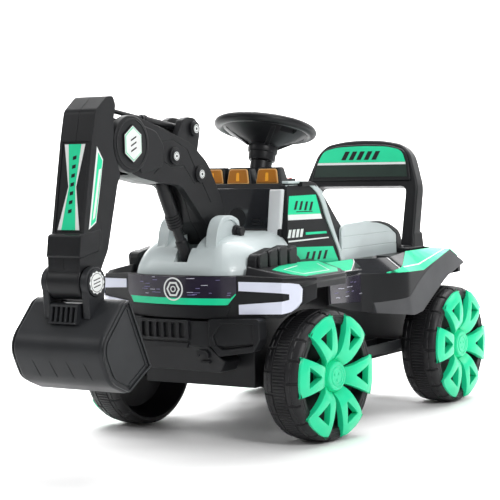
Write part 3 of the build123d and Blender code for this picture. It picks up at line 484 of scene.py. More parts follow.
def build_cap(corner):
    """Six V-shaped spokes, each with a triangular window and a notched outer edge, round a raised hub."""
    bm = bmesh.new()
    rows = [22, 27, 33, 40, 47, 50, 56, 62, 68, 74, 78, 82.5, 88, 93, 97]
    window_in, window_out = 50, 82.5

    def half_width(u):
        return 12.0 + (u - 22) * (33.0 - 12.0) / (97.0 - 22)

    def hole(u):
        return 1.2 + (u - window_in) * (17.0 - 1.2) / (window_out - window_in)

    for spoke in range(6):
        turn = radians(60 * spoke - 5)
        radial, across_dir = (cos(turn), sin(turn)), (-sin(turn), cos(turn))

        def at(u, v, drop=0.0):
            y, z = u * radial[0] + v * across_dir[0], u * radial[1] + v * across_dir[1]
            r = (u * u + v * v) ** 0.5
            return bm.verts.new(((cap_height(r) - drop) * MM, y * MM, z * MM))

        grid = []
        for u in rows:
            w = half_width(u)
            if window_in <= u <= window_out:
                h = hole(u)
                m = (w + h) / 2
                grid.append([at(u, -w, 1.6), at(u, -m), at(u, -h, 0.8), at(u, h, 0.8), at(u, m),
                    at(u, w, 1.6)])
            else:
                grid.append([at(u, -w, 1.6), at(u, -w * 0.62), at(u, -w * 0.3), at(u, w * 0.3),
                    at(u, w * 0.62), at(u, w, 1.6)])
        faces = []
        for k, (a, b) in enumerate(zip(grid, grid[1:])):
            window = window_in <= rows[k] < window_out
            for i in range(5):
                if window and i == 2:
                    continue
                faces.append(bm.faces.new((a[i], a[i + 1], b[i + 1], b[i])))
        # notched outer edge: an arc of little blocks
        last = grid[-1]
        edge = []
        for i, v in enumerate((-33, -22, -9.9, 9.9, 22, 33)):
            reach = 103.2 if abs(v) < 25 else 101.5
            u = (reach * reach - v * v) ** 0.5
            edge.append(at(u, v, 0.4))
        for i in range(5):
            faces.append(bm.faces.new((last[i], last[i + 1], edge[i + 1], edge[i])))
        made = bmesh.ops.extrude_face_region(bm, geom=faces)
        back = [g for g in made["geom"] if isinstance(g, bmesh.types.BMVert)]
        for v in back:
            r = (v.co.y ** 2 + v.co.z ** 2) ** 0.5 / MM
            v.co.x = (35.6 if r > 88 else max(12.5, cap_height(r) - 13)) * MM
    lathe(bm, [(12.2, 5.4), (12.2, 31), (20, 30), (28, 28.5), (32, 26), (38.5, 24.5), (40.5, 22.5),
        (40.8, 19.0), (39.6, 18.2), (39.6, 16.6), (41.0, 15.8), (41.2, 13.0), (40.0, 12.2), (40.0, 0.01)],
        72)
    for k in range(3):
        a = radians(120 * k + 30)
        points = [(6.5 * cos(a) + dx, 6.5 * sin(a) + dy) for dx, dy in circle_points((0, 0), 2.6, 20)]
        add_prism(bm, [Vector((39.8 * MM, y * MM, z * MM)) for y, z in points],
            [Vector((41.0 * MM, y * MM, z * MM)) for y, z in points])
    bmesh.ops.transform(bm, matrix=corner_matrix(corner), verts=bm.verts)
    piece(bm, f"spoked_cap_{corner}", "green", [f"hub_cap_{corner}"], body=f"wheel_{corner}", bevel=1.1,
        angle=38)


for corner in ("front_left", "front_right", "rear_left", "rear_right"):
    build_tyre(corner)
    build_cap(corner)


# ---- arm ----
def rounded(points, radii, steps=5):
    """Rounds polygon corners with quadratic curves; radii is one number or one for each corner."""
    if not isinstance(radii, (list, tuple)):
        radii = [radii] * len(points)
    result = []
    count = len(points)
    for i, (p, r) in enumerate(zip(points, radii)):
        if not r:
            result.append(p)
            continue
        before, after = Vector(points[i - 1]), Vector(points[(i + 1) % count])
        corner = Vector(p)
        to_b, to_a = before - corner, after - corner
        reach = min(r, to_b.length * 0.45, to_a.length * 0.45)
        start, end = corner + to_b.normalized() * reach, corner + to_a.normalized() * reach
        for k in range(steps + 1):
            t = k / steps
            q = start * (1 - t) ** 2 + corner * 2 * t * (1 - t) + end * t ** 2
            result.append((q.x, q.y))
    return result


def ring_solid(bm, outer, inner, x_low, x_high, material=0):
    """Flat frame between two outlines with the same count of side-view points."""
    count = len(outer)
    loops = [[bm.verts.new(place(x, y, z)) for y, z in pts] for x in (x_low, x_high)
        for pts in (outer, inner)]
    lo_out, lo_in, hi_out, hi_in = loops
    for a, b in ((lo_in, lo_out), (hi_out, hi_in), (lo_out, hi_out), (hi_in, lo_in)):
        for i in range(count):
            j = (i + 1) % count
            bm.faces.new((a[i], a[j], b[j], b[i])).material_index = material


def shrink(points, amount):
    """Moves an outline inwards by offsetting its edges (works for outlines without very short edges)."""
    area = sum(points[i - 1][0] * points[i][1] - points[i][0] * points[i - 1][1]
        for i in range(len(points)))
    sign = 1 if area > 0 else -1
    result = []
    count = len(points)
    for i in range(count):
        p, a, b = Vector(points[i]), Vector(points[i - 1]), Vector(points[(i + 1) % count])
        d1, d2 = (p - a).normalized(), (b - p).normalized()
        n1, n2 = Vector((-d1.y, d1.x)) * sign, Vector((-d2.y, d2.x)) * sign
        bis = (n1 + n2)
        bis.normalize()
        q = p + bis * (amount / max(0.4, bis.dot(n1)))
        result.append((q.x, q.y))
    return result


def stroke(line, width):
    """Band of even width along an open line."""
    left, right = [], []
    for i, p in enumerate(line):
        a, b = Vector(line[max(0, i - 1)]), Vector(line[min(len(line) - 1, i + 1)])
        d = (b - a).normalized()
        n = Vector((-d.y, d.x)) * width / 2
        left.append((p[0] + n.x, p[1] + n.y))
        right.append((p[0] - n.x, p[1] - n.y))
    return left + list(reversed(right))


def outline_between(a, b, t):
    return (a[0] + (b[0] - a[0]) * t, a[1] + (b[1] - a[1]) * t)


BOOM_PIVOT, STICK_PIVOT, BUCKET_PIVOT = (-38.0, 350.0), (-283.0, 500.0), (-400.0, 293.0)
BOOM_RAM = ((-88.0, 285.0), (-168.0, 436.0))
STICK_RAM = ((-103.0, 523.0), (-341.0, 560.0))

stick_outline = rounded([(-343, 574), (-372, 552), (-383, 506), (-409, 369), (-421, 335), (-420, 303),
    (-400, 286), (-376, 300), (-351, 339), (-322, 440), (-314, 452), (-322, 470), (-330, 500), (-328, 540),
    (-322, 560), (-328, 574)], [5, 6, 3, 0, 0, 8, 8, 8, 6, 6, 6, 6, 10, 8, 4, 5])


def build_stick():
    for sign, name in SIDES:
        obj = piece(made(side_solid, stick_outline, *span(0.25, 31, sign)), f"stick_half_{name}",
            hides=[f"stick_shell_{name}"], body="stick", bevel=2.6, segments=3)
        for centre, radius, low, high in ((STICK_PIVOT, 48, -1, 40), (STICK_PIVOT, 7, -1, 40)):
            cut_with(obj, side_disc, centre, radius, *span(low, high, sign), 96)
        cut_with(obj, side_solid, [(-346, 540), (-346, 566), (-334, 575), (-315, 590), (-315, 534)],
            *span(-1, 9, sign))
        cut_with(obj, side_solid, [(-390, 506), (-416, 369), (-407.2, 368), (-381.2, 505.5)],
            *span(-1, 25.5, sign))
    # collar below the label, split from the shaft by a step, and the rounded barrel at the bucket's pin
    piece(made(side_solid, rounded([(-411, 367), (-418, 364.5), (-423, 333), (-419, 329.5), (-372, 339),
        (-368, 372)], 3), -32.2, 32.2), "stick_collar", body="stick", bevel=1.6)
    piece(made(side_disc, BUCKET_PIVOT, 26.5, -31, 31, 64), "stick_barrel", body="stick", bevel=2.0,
        segments=3)
    bm = bmesh.new()
    side_disc(bm, STICK_PIVOT, 24, -14.8, 14.8, 48)
    side_solid(bm, [(-340, 486), (-340, 514), (-283, 514), (-283, 486)], -14.8, 14.8)
    piece(bm, "stick_tongue", body="stick", bevel=1.5)


def label_frame(a, b, u, t, out=0.0):
    """Point on the stick's front label: u across in mm, t from top 0 to bottom 1, lifted off the face."""
    y, z = outline_between(a, b, t)
    d = (Vector(b) - Vector(a)).normalized()
    n = Vector((d.y, -d.x))
    if n.x > 0:
        n = -n
    return place(u, y + n.x * out, z + n.y * out)


def build_stick_labels():
    a, b = (-381.6, 504.0), (-407.2, 370.0)
    bm = bmesh.new()

    def patch(points, low, high, material):
        add_prism(bm, [label_frame(a, b, u, t, low) for u, t in points],
            [label_frame(a, b, u, t, high) for u, t in points], material)

    patch([(-24.8, 0), (24.8, 0), (24.8, 1), (-24.8, 1)], -2.5, 0.3, 0)
    white = [(-22, 0.02), (18, 0.02), (7.5, 0.5), (21, 0.985), (-21, 0.985), (-7.5, 0.5)]
    patch(white, 0.3, 0.7, 1)
    green = [(-14, 0.02), (10.5, 0.02), (6.2, 0.5), (13.5, 0.985), (-13.5, 0.985), (-5.8, 0.5)]
    patch(green, 0.7, 1.0, 2)
    for k in range(7):
        t = 0.16 + 0.1 * k
        patch([(-3.2, t), (3.4, t - 0.012), (3.4, t + 0.028), (-3.2, t + 0.04)], 1.0, 1.25, 0)
    piece(bm, "stick_front_label", ("black", "white", "green"), ["stick_front_plate"], body="stick",
        bevel=0)
    for sign, name in SIDES:
        bm = bmesh.new()

        def side_patch(points, x_in, x_out, material):
            side_solid(bm, points, *span(x_in, x_out, sign), material)

        side_patch([(-371.5, 497), (-357.5, 477), (-379, 382), (-397, 372.5)], 31, 31.4, 1)
        side_patch([(-369, 488), (-359.5, 475.5), (-380.2, 384.5), (-392.4, 377)], 31.4, 31.7, 2)
        side_patch([(-369.2, 462), (-363.6, 463.4), (-382, 390), (-388, 386)], 31.7, 31.9, 1)
        piece(bm, f"stick_side_label_{name}", ("black", "white", "green"), body="stick",
            bevel=0)


boom_outline = rounded([(-283, 545), (-250, 539), (-200, 525), (-118, 499), (-72, 466), (-45, 424),
    (-22, 378), (-13, 350), (-20, 334), (-38, 326), (-56, 330), (-70, 352), (-84, 366), (-110, 393),
    (-150, 431), (-206, 436), (-262, 447), (-283, 455)], [0, 10, 10, 14, 16, 16, 12, 12, 10, 10, 10, 10, 0,
    0, 12, 12, 8, 0])


def build_boom():
    for sign, name in SIDES:
        obj = piece(made(side_solid, boom_outline, *span(0.2, 28, sign)), f"boom_half_{name}",
            hides=[f"boom_shell_{name}"], body="boom", bevel=2.4, segments=3)
        for points, low, high in ((circle_points(STICK_PIVOT, 49, 72), -1, 16.0),
                ([(-196, 425), (-196, 446), (-128, 446), (-100, 400), (-84, 362), (-96, 350)], -1, 15),):
            cut_with(obj, side_solid, points, *span(low, high, sign))
        # sunk panel line along the flank
        tool = bmesh.new()
        line = [(-232, 520), (-205, 503), (-168, 505), (-130, 489), (-118, 470), (-92, 436), (-66, 400)]
        side_solid(tool, stroke(line, 1.8), *span(26.8, 40, sign))
        cut(obj, tool)
        tool = bmesh.new()
        line = [(-224, 452), (-196, 470), (-176, 462), (-140, 462), (-112, 432)]
        side_solid(tool, stroke(line, 1.6), *span(27.0, 40, sign))
        cut(obj, tool)
        # knuckle disc, ring and raised flank pad
        bm = bmesh.new()
        side_disc(bm, STICK_PIVOT, 45, *span(16.4, 30.6, sign), 80)
        side_solid(bm, rounded([(-262, 532), (-216, 520), (-196, 496), (-200, 462), (-262, 452)], 8),
            *span(20, 30.0, sign))
        piece(bm, f"boom_knuckle_{name}", body="boom", bevel=2.2, segments=3)
        piece(made(ring_solid, circle_points(STICK_PIVOT, 40, 72), circle_points(STICK_PIVOT, 37.5, 72),
            *span(30.2, 31.6, sign)), f"boom_knuckle_bead_{name}", body="boom", bevel=0.6)
        # hexagon badge: green rim, white face and a plain chevron
        bm = bmesh.new()

        def hexagon(size, low, high, material, wide=0.86):
            pts = [(STICK_PIVOT[0] + size * wide * cos(pi / 3 * k + pi / 6),
                STICK_PIVOT[1] + size * sin(pi / 3 * k + pi / 6)) for k in range(6)]
            side_solid(bm, pts, *span(low, high, sign), material)

        hexagon(30, 30.4, 33.0, 0)
        hexagon(28.4, 33.0, 33.3, 1)
        hexagon(26.4, 33.3, 33.6, 2)
        hexagon(25.0, 33.6, 34.0, 1)
        for k in (-1, 0, 1):
            y, z = STICK_PIVOT[0], STICK_PIVOT[1] + 8.5 * k
            side_solid(bm, [(y - 7, z - 4.5), (y + 7, z + 1.5), (y + 7, z + 4.0), (y - 7, z - 2.0)],
                *span(34.0, 34.2, sign), 0)
        piece(bm, f"hexagon_badge_{name}", ("black", "white", "green"), ["boom_badges"] if sign > 0 else [],
            body="boom", bevel=0)
        # bosses with round washers printed white
        for number, (centre, low, high) in enumerate((((-168, 479), 27, 32), ((-97, 448), 27, 32),
                ((-103, 523), 20, 27))):
            bm = bmesh.new()
            side_disc(bm, centre, 14.0 if number < 2 else 12.5, *span(low, high, sign), 48)
            side_disc(bm, centre, 10.5, *span(high - 0.5, high + 1.4, sign), 40)
            piece(bm, f"boom_boss_{number}_{name}", body="boom", bevel=1.4, segments=3)
            bm = bmesh.new()
            top = high + 1.4
            ring_solid(bm, circle_points(centre, 7.0, 40), circle_points(centre, 5.9, 40),
                *span(top, top + 0.35, sign))
            side_disc(bm, centre, 4.8, *span(top, top + 0.3, sign), 32)
            side_disc(bm, centre, 2.2, *span(top + 0.3, top + 0.5, sign), 24, 1)
            piece(bm, f"boom_sticker_{number}_{name}", ("white", "black"), body="boom",
                bevel=0)
    # clevis for the upper ram
    bm = bmesh.new()
    ear = rounded([(-150, 508), (-133, 538), (-118, 543), (-97, 541), (-86, 530), (-84, 515), (-92, 484),
        (-118, 490)], [0, 4, 4, 6, 6, 6, 0, 0])
    for low, high in ((9, 22), (-22, -9)):
        side_solid(bm, ear, low, high)
    piece(bm, "boom_clevis", body="boom", bevel=2.0, segments=3)


def rod(bm, start, end, profile, count=40):
    """Revolved piece along a line in the middle plane; profile is (distance from start, radius)."""
    d = (Vector(end) - Vector(start)).normalized()
    axis = Vector((0, d.x, d.y))
    side_axis = Vector((1, 0, 0))
    third = axis.cross(side_axis)
    turn = Matrix((axis, side_axis, third)).transposed().to_4x4()
    turn.translation = place(0, *start)
    lathe(bm, profile, count, turn)


def build_rams():
    bm = bmesh.new()
    rod(bm, *BOOM_RAM, [(-6, 0.01), (-6, 9), (-2, 10), (60, 10), (62, 8.0), (128, 8.0), (128, 0.01)])
    side_disc(bm, BOOM_RAM[0], 4, -18, 18, 24)
    piece(bm, "lower_ram_rod", hides=["boom_ram_rod"], body="boom_ram_rod", bevel=0.8)
    bm = bmesh.new()
    rings = [(86, 8.1), (86, 11.6)]
    for k in range(5):
        s = 88 + k * 5
        rings += [(s, 11.6), (s + 0.8, 13.2), (s + 2.6, 13.2), (s + 3.4, 11.6)]
    rings += [(113, 11.4), (150, 11.4), (168, 10.8), (172, 9.5), (172, 0.01)]
    rod(bm, *BOOM_RAM, [(90, 0.01)] + rings)
    piece(bm, "lower_ram_sleeve", hides=["boom_ram_sleeve"], body="boom_ram_sleeve", bevel=0)
    bm = bmesh.new()
    rod(bm, *STICK_RAM, [(-6, 0.01), (-6, 5.4), (4, 5.6), (104, 5.6), (105, 7.0), (110, 7.0), (111, 6.0),
        (117, 6.0), (117, 4.0), (112, 0.01)])
    side_disc(bm, STICK_RAM[0], 4, -22, 22, 24)
    side_disc(bm, STICK_RAM[0], 8, -8, 8, 32)
    piece(bm, "upper_ram_sleeve", hides=["stick_ram_sleeve"], body="stick_ram_sleeve", bevel=0.6)
    piece(made(rod, *STICK_RAM, [(74, 0.01), (74, 3.8), (236, 3.8), (240, 3.8), (244, 3.0), (244, 0.01)]),
        "upper_ram_rod", hides=["stick_ram_rod"], body="stick_ram_rod", bevel=0)


bucket_profile = rounded([(-375, 268), (-392, 264), (-453, 200), (-425, 142), (-383, 124), (-323, 159)],
    [0, 16, 30, 16, 0, 0], 7)


def build_bucket():
    shell = piece(made(side_solid, bucket_profile, -87, 87), "bucket_shell", "bucket", ["bucket"],
        body="bucket", bevel=7.5, segments=5)
    # bevel first, then hollow out: the mouth keeps crisp edges
    apply_modifiers(shell)
    inside = rounded([(-360, 290), (-372, 262), (-389, 259), (-448, 199), (-421.5, 146), (-385, 129),
        (-379, 119), (-300, 140)], [0, 0, 14, 26, 12, 0, 0, 0], 6)
    cut_with(shell, side_solid, inside, -83, 83)
    # slanted drain grooves on the lower front
    top, bottom = Vector((-449.5, 189.0)), Vector((-428, 147.0))
    n = Vector((-(top - bottom).y, (top - bottom).x)).normalized()
    if n.x > 0:
        n = -n
    for k in range(4):
        x_top, x_low = -52 + 33 * k, -44 + 33 * k
        tool = bmesh.new()
        ring = ((x_top - 0.9, top), (x_top + 0.9, top), (x_low + 0.9, bottom), (x_low - 0.9, bottom))
        add_prism(tool, [place(x, p.x - n.x * 1.6, p.y - n.y * 1.6) for x, p in ring],
            [place(x, p.x + n.x * 9, p.y + n.y * 9) for x, p in ring])
        cut(shell, tool)
    add_bevel(shell, 0.6, 2, 50)
    weigh_normals(shell)
    # beads round the side plates
    base = rounded([(-377, 266), (-391, 262), (-450, 200), (-424, 145), (-383, 127), (-327, 160)],
        [2, 14, 26, 14, 2, 2], 6)
    for sign, name in SIDES:
        bm = bmesh.new()
        for outset, width, height in ((0.0, 3.4, 2.6), (8.0, 2.2, 1.4)):
            outer = shrink(base, outset) if outset else base
            ring_solid(bm, outer, shrink(base, outset + width), *span(86.5, 87 + height, sign))
        piece(bm, f"bucket_bead_{name}", "bucket", body="bucket", bevel=0.9)
    # ears, bracket with slots, caps
    for sign, name in SIDES:
        bm = bmesh.new()
        side_disc(bm, BUCKET_PIVOT, 24, *span(31.6, 44.5, sign), 56)
        side_solid(bm, [(-421, 283), (-417, 238), (-380, 265), (-379, 283)], *span(31.6, 44.5, sign))
        piece(bm, f"bucket_ear_{name}", "bucket", body="bucket", bevel=2.0, segments=3)
        bm = bmesh.new()
        scallop = []
        for k in range(120):
            a = 2 * pi * k / 120
            r = 16.6 + 0.9 * cos(12 * a)
            scallop.append((BUCKET_PIVOT[0] + r * cos(a), BUCKET_PIVOT[1] + r * sin(a)))
        side_disc(bm, BUCKET_PIVOT, 20.5, *span(44.3, 46.0, sign), 56, 1)
        side_solid(bm, scallop, *span(46.0, 46.4, sign), 0)
        ring_solid(bm, circle_points(BUCKET_PIVOT, 14.4, 48), circle_points(BUCKET_PIVOT, 13.6, 48),
            *span(46.4, 46.6, sign), 1)
        for k in (-1, 0, 1):
            y, z = BUCKET_PIVOT[0], BUCKET_PIVOT[1] + 5.2 * k
            side_solid(bm, [(y - 8, z - 2.6), (y + 8, z + 0.8), (y + 8, z + 2.4), (y - 8, z - 1.0)],
                *span(46.4, 46.6, sign), 1)
        piece(bm, f"bucket_badge_{name}", ("white", "bucket"), ["bucket_hub_caps"] if sign > 0 else [],
            body="bucket", bevel=0)
    bracket = piece(made(side_solid, rounded([(-423, 262), (-429, 231), (-421, 232), (-404, 249),
        (-400, 262)], [5, 3, 0, 0, 0]), -27, 27), "bucket_bracket", "bucket", body="bucket")
    for k in range(5):
        x = -21.5 + 9.6 * k
        cut_with(bracket, side_solid, [(-440, 257), (-440, 233), (-423, 235), (-416, 257)], x, x + 5.2)
    cut_with(bracket, side_disc, BUCKET_PIVOT, 28, -40, 40, 64)


build_stick()
build_stick_labels()
build_boom()
build_rams()
build_bucket()


# ---- hood ----
def hood_row(height, row, rounding):
    """Half outline rounded at its corners, front centre to rear."""
    points = [(0.0, row[0][1])] + list(row)
    result = [points[0]]
    for i in range(1, len(points) - 1):
        corner, before, after = Vector(points[i]), Vector(points[i - 1]), Vector(points[i + 1])
        to_b, to_a = before - corner, after - corner
        reach_b, reach_a = min(rounding[i - 1], to_b.length * 0.48), min(rounding[i - 1],
            to_a.length * 0.48)
        start = corner + to_b.normalized() * reach_b
        end = corner + to_a.normalized() * reach_a
        for k in range(7):
            t = k / 6
            q = start * (1 - t) ** 2 + corner * 2 * t * (1 - t) + end * t ** 2
            result.append((q.x, q.y))
    result.append(points[-1])
    return [(x, y, height) for x, y in result]


def catmull(a, b, c, d, t):
    square, cube = 2 * a - 5 * b + 4 * c - d, 3 * b - 3 * c + d - a
    return 0.5 * (2 * b + (c - a) * t + square * t * t + cube * t ** 3)


HOOD_ROWS = [(281, [(72, -126), (93, -117), (127, -70), (127, 30), (104, 57)], (10, 12, 20, 20)),
    (296, [(71, -122), (91, -113), (124, -66), (125, 30), (104, 57)], (14, 16, 26, 24)),
    (315, [(67, -112), (85, -103), (116, -58), (118, 32), (104, 57)], (18, 20, 30, 28)),
    (331, [(60, -97), (74, -90), (97, -53), (98, 32), (94, 57)], (18, 20, 34, 30)),
    (341, [(46, -80), (58, -74), (78, -46), (78, 32), (78, 57)], (18, 20, 30, 30)),
    (346, [(30, -66), (40, -60), (58, -38), (58, 32), (58, 57)], (12, 14, 20, 20)),]


def build_hood():
    rows = [hood_row(*row) for row in HOOD_ROWS]
    fine = []
    for i in range(len(rows) - 1):
        a, b = rows[max(0, i - 1)], rows[i]
        c, d = rows[i + 1], rows[min(len(rows) - 1, i + 2)]
        for k in range(4):
            t = k / 4
            fine.append([tuple(catmull(p[n], q[n], r[n], s[n], t) for n in range(3)) for p, q, r,
                s in zip(a, b, c, d)])
    fine.append(rows[-1])
    bm = bmesh.new()
    rings = []
    for row in fine:
        ring = [bm.verts.new(place(x, y, z)) for x, y, z in row]
        ring += [bm.verts.new(place(-x, y, z)) for x, y, z in reversed(row[1:])]
        rings.append(ring)
    for low, high in zip(rings, rings[1:]):
        for i in range(len(low)):
            j = (i + 1) % len(low)
            bm.faces.new((low[i], low[j], high[j], high[i]))
    bm.faces.new(rings[-1])
    bm.faces.new(list(reversed(rings[0])))
    hood = piece(bm, "hood_dome", "pale", ["hood"], angle=50, smooth=50)
    for points, low, high in (([(-66, 270), (-66, 362), (-3, 362), (-3, 270)], -30.5, 30.5),
            ([(-118, 292), (-121, 330), (-50, 380), (-50, 292)], -13.5, 13.5),
            ([(-90, 275), (-104, 330), (-20, 380), (-4, 275)], -22, 22),):
        cut_with(hood, side_solid, points, low, high)
    ear = rounded([(-98, 318), (-94, 352), (-82, 371), (-56, 377), (-32, 368), (-24, 350), (-20, 318)],
        [0, 10, 12, 16, 12, 10, 0])
    rim = rounded([(-103, 318), (-96, 354), (-84, 373.5), (-56, 379.5), (-30, 370), (-27, 352), (-33, 352),
        (-38, 364), (-56, 371.5), (-79, 366), (-88, 350), (-93, 318)],
        [0, 10, 12, 16, 8, 2, 2, 8, 14, 10, 8, 0])
    for sign, name in SIDES:
        piece(made(side_solid, ear, *span(40, 57, sign)), f"hood_ear_{name}", "pale", bevel=3.5, segments=4)
        piece(made(side_solid, rim, *span(38.5, 60, sign)), f"hood_ear_rim_{name}", "pale", bevel=2.6,
            segments=3)
        # foot that blends the ear into the dome
        bm = bmesh.new()
        low, high = 40, 57
        lower = [(low - 6, -108, 316), (high + 12, -104, 313), (high + 16, -18, 326), (low - 6, -14, 336)]
        upper = [(low, -98, 338), (high, -98, 338), (high, -22, 348), (low, -22, 348)]
        add_prism(bm, [place(sign * x, y, z) for x, y, z in lower],
            [place(sign * x, y, z) for x, y, z in upper])
        piece(bm, f"hood_ear_foot_{name}", "pale", bevel=6, segments=4)
        bm = bmesh.new()
        side_disc(bm, BOOM_PIVOT, 8.5, *span(56, 72, sign), 6)
        side_disc(bm, BOOM_PIVOT, 10.5, *span(56, 63, sign), 40)
        piece(bm, f"boom_pin_head_{name}", hides=["boom_pin"] if sign > 0 else [], bevel=1)
    piece(made(side_disc, BOOM_PIVOT, 7, -58, 58, 32), "boom_pin_shaft", bevel=0.6)
    # black socket behind the ram's slot
    piece(made(side_solid, [(-96, 262), (-100, 288), (-62, 300), (-8, 300), (-6, 262)], -34, 34),
        "hood_socket", bevel=1)
    # vents on both flanks
    for sign, name in SIDES:
        piece(made(side_solid, rounded([(-91, 281), (-88, 308), (-82, 315), (-37, 323), (18, 319),
            (34, 312), (54, 298), (54, 281)], [0, 4, 6, 4, 6, 4, 4, 0]), *span(112, 129, sign)),
            f"vent_core_{name}", hides=["vent_blocks"] if sign > 0 else [], bevel=1.5)
        for k in range(4):
            y = -84 + 31 * k
            top = 314.5 + (3.4 * k if k < 2 else 6.5 - 2.5 * (k - 2))
            rib = rounded([(y, 290), (y - 1.5, top - 4), (y + 3, top + 1), (y + 22, top + 4.5),
                (y + 25.5, top), (y + 24.5, 290)], [0, 3, 3, 3, 3, 0])
            piece(made(side_solid, rib, *span(114, 134.5, sign)), f"vent_rib_{name}_{k}", bevel=2.4,
                segments=3)


# ---- nose: fascia, lights, fender plates and bumper ----
STRIP_WIDTH = 12.0             # widest strip of a plate that follows the curved nose


def nose_y(x, out=0.0):
    """Front line of the nose seen from above, pushed out of the surface."""
    x = abs(x)
    bow = [(0.0, -139.0), (47.0, -135.1), (94.0, -123.0), (181.0, -91.0), (204.0, -58.0), (212.0, -34.0)]
    if x <= 94:
        radius = (94 ** 2 + 16 ** 2) / 32
        return -139 + radius - (radius ** 2 - x ** 2) ** 0.5 - out
    for (x0, y0), (x1, y1) in zip(bow[2:], bow[3:]):
        if x <= x1 + 0.01:
            slope = (y1 - y0) / (x1 - x0)
            return y0 + slope * (x - x0) - out * (1 + slope ** 2) ** 0.5
    return bow[-1][1]


def nose_patch(bm, points, low, high, material=0, surface=nose_y):
    """Plate that follows the nose: a front-view outline cut into narrow upright strips."""
    xs = sorted({x for x, _ in points})
    cuts = set(xs)
    for a, b in zip(xs, xs[1:]):
        count = max(1, int((b - a) / STRIP_WIDTH))
        cuts |= {a + (b - a) * k / count for k in range(1, count)}
    for bend in (-181, -94, 94, 181):
        if xs[0] < bend < xs[-1]:
            cuts.add(bend)
    cuts = sorted(cuts)

    def span(x):
        hits = []
        for (x0, z0), (x1, z1) in zip(points, points[1:] + points[:1]):
            if min(x0, x1) - 1e-6 <= x <= max(x0, x1) + 1e-6:
                if abs(x1 - x0) < 1e-6:
                    hits += [z0, z1]
                else:
                    hits.append(z0 + (z1 - z0) * (x - x0) / (x1 - x0))
        return min(hits), max(hits)

    columns = []
    for x in cuts:
        z0, z1 = span(x)
        if z1 - z0 < 0.05:
            z1 = z0 + 0.05
        columns.append([bm.verts.new(place(x, surface(x, out), z)) for out,
            z in ((low, z0), (low, z1), (high, z1), (high, z0))])
    for a, b in zip(columns, columns[1:]):
        for i in range(4):
            j = (i + 1) % 4
            bm.faces.new((a[i], a[j], b[j], b[i])).material_index = material
    bm.faces.new(columns[0]).material_index = material
    bm.faces.new(list(reversed(columns[-1]))).material_index = material


def build_nose():
    # smoked fascia that turns the corner to the lights, lower black lip
    piece(made(nose_patch, [(-110, 281), (-110, 252), (-98, 236), (98, 236), (110, 252), (110, 281)], 0.0,
        2.4, 0), "fascia_glass", "smoked", ["fascia_panel"], bevel=0.6)
    bm = bmesh.new()
    nose_patch(bm, [(-94, 234.5), (-101, 245.5), (101, 245.5), (94, 234.5)], 2.3, 2.9, 0)
    nose_patch(bm, [(101.6, 245.8), (95, 235.2), (96.2, 234.8), (110, 252), (109, 253)], 2.3, 2.9, 0)
    piece(bm, "fascia_stripe", "green", bevel=0)
    bm = bmesh.new()
    rng = random.Random(7)
    for k in range(44):
        x = rng.uniform(-90, 100)
        z = rng.choice((250.5, 254, 258.5, 262, 266.5, 270, 274.5, 278)) + rng.uniform(-0.8, 0.8)
        length = rng.uniform(4, 15)
        if abs(x) < 24 or abs(x + length) < 24 or (x < 94 < x + length):
            continue
        nose_patch(bm, [(x, z), (x, z + 0.7), (x + length, z + 0.9), (x + length, z + 0.1)], 2.3, 2.7,
            k % 2)
    piece(bm, "fascia_dashes", ("dash_light", "dash_violet"), bevel=0)
    # round badge with a plain hexagon nut
    bm = bmesh.new()

    def badge_ring(r_out, r_in, low, high, material):
        outer, inner = circle_points((0, 260), r_out, 64), circle_points((0, 260), r_in, 64)
        loops = [[bm.verts.new(place(x, nose_y(x, out), z)) for x, z in pts] for out in (low, high)
            for pts in (outer, inner)]
        lo_out, lo_in, hi_out, hi_in = loops
        for a, b in ((lo_in, lo_out), (hi_out, hi_in), (lo_out, hi_out), (hi_in, lo_in)):
            for i in range(64):
                j = (i + 1) % 64
                bm.faces.new((a[i], a[j], b[j], b[i])).material_index = material

    badge_ring(19.4, 0.2, 2.3, 2.8, 1)
    badge_ring(19.4, 16.9, 2.8, 3.3, 0)
    badge_ring(5.2, 3.6, 2.8, 3.3, 0)
    for k in range(6):
        corners = [(r * cos(pi / 3 * j), 260 + r * sin(pi / 3 * j)) for j,
            r in ((k, 13.5), (k + 1, 13.5), (k + 1, 10.0), (k, 10.0))]
        nose_patch(bm, corners, 2.8, 3.3, 0)
    piece(bm, "nose_badge", ("white", "smoked"), bevel=0)
    # U-shaped lights
    for sign, name in SIDES:
        bm = bmesh.new()
        parts = ([(114, 257.8), (114, 272.6), (181, 270.5), (181, 253.5)],
            [(181, 253.5), (181, 270.5), (189.5, 269.5), (189.5, 251.5)],
            [(189.5, 222), (189.5, 269.5), (199, 267), (201.5, 258), (200.5, 238), (196.5, 229)],
            [(114, 219.4), (114, 235.2), (181, 240), (181, 219.6)],
            [(181, 219.6), (181, 240), (189.5, 242.5), (189.5, 222)],)
        for points in parts:
            nose_patch(bm, [(sign * x, z) for x, z in points], -0.5, 3.0, 0)
        piece(bm, f"front_light_{name}", "lamp", ["light_bars"] if sign > 0 else [], bevel=0.5)
    # lip below the fascia
    piece(made(nose_patch, [(-93, 213), (-100, 233), (100, 233), (93, 213)], -1.0, 1.6, 0), "nose_lip",
        bevel=1.0)


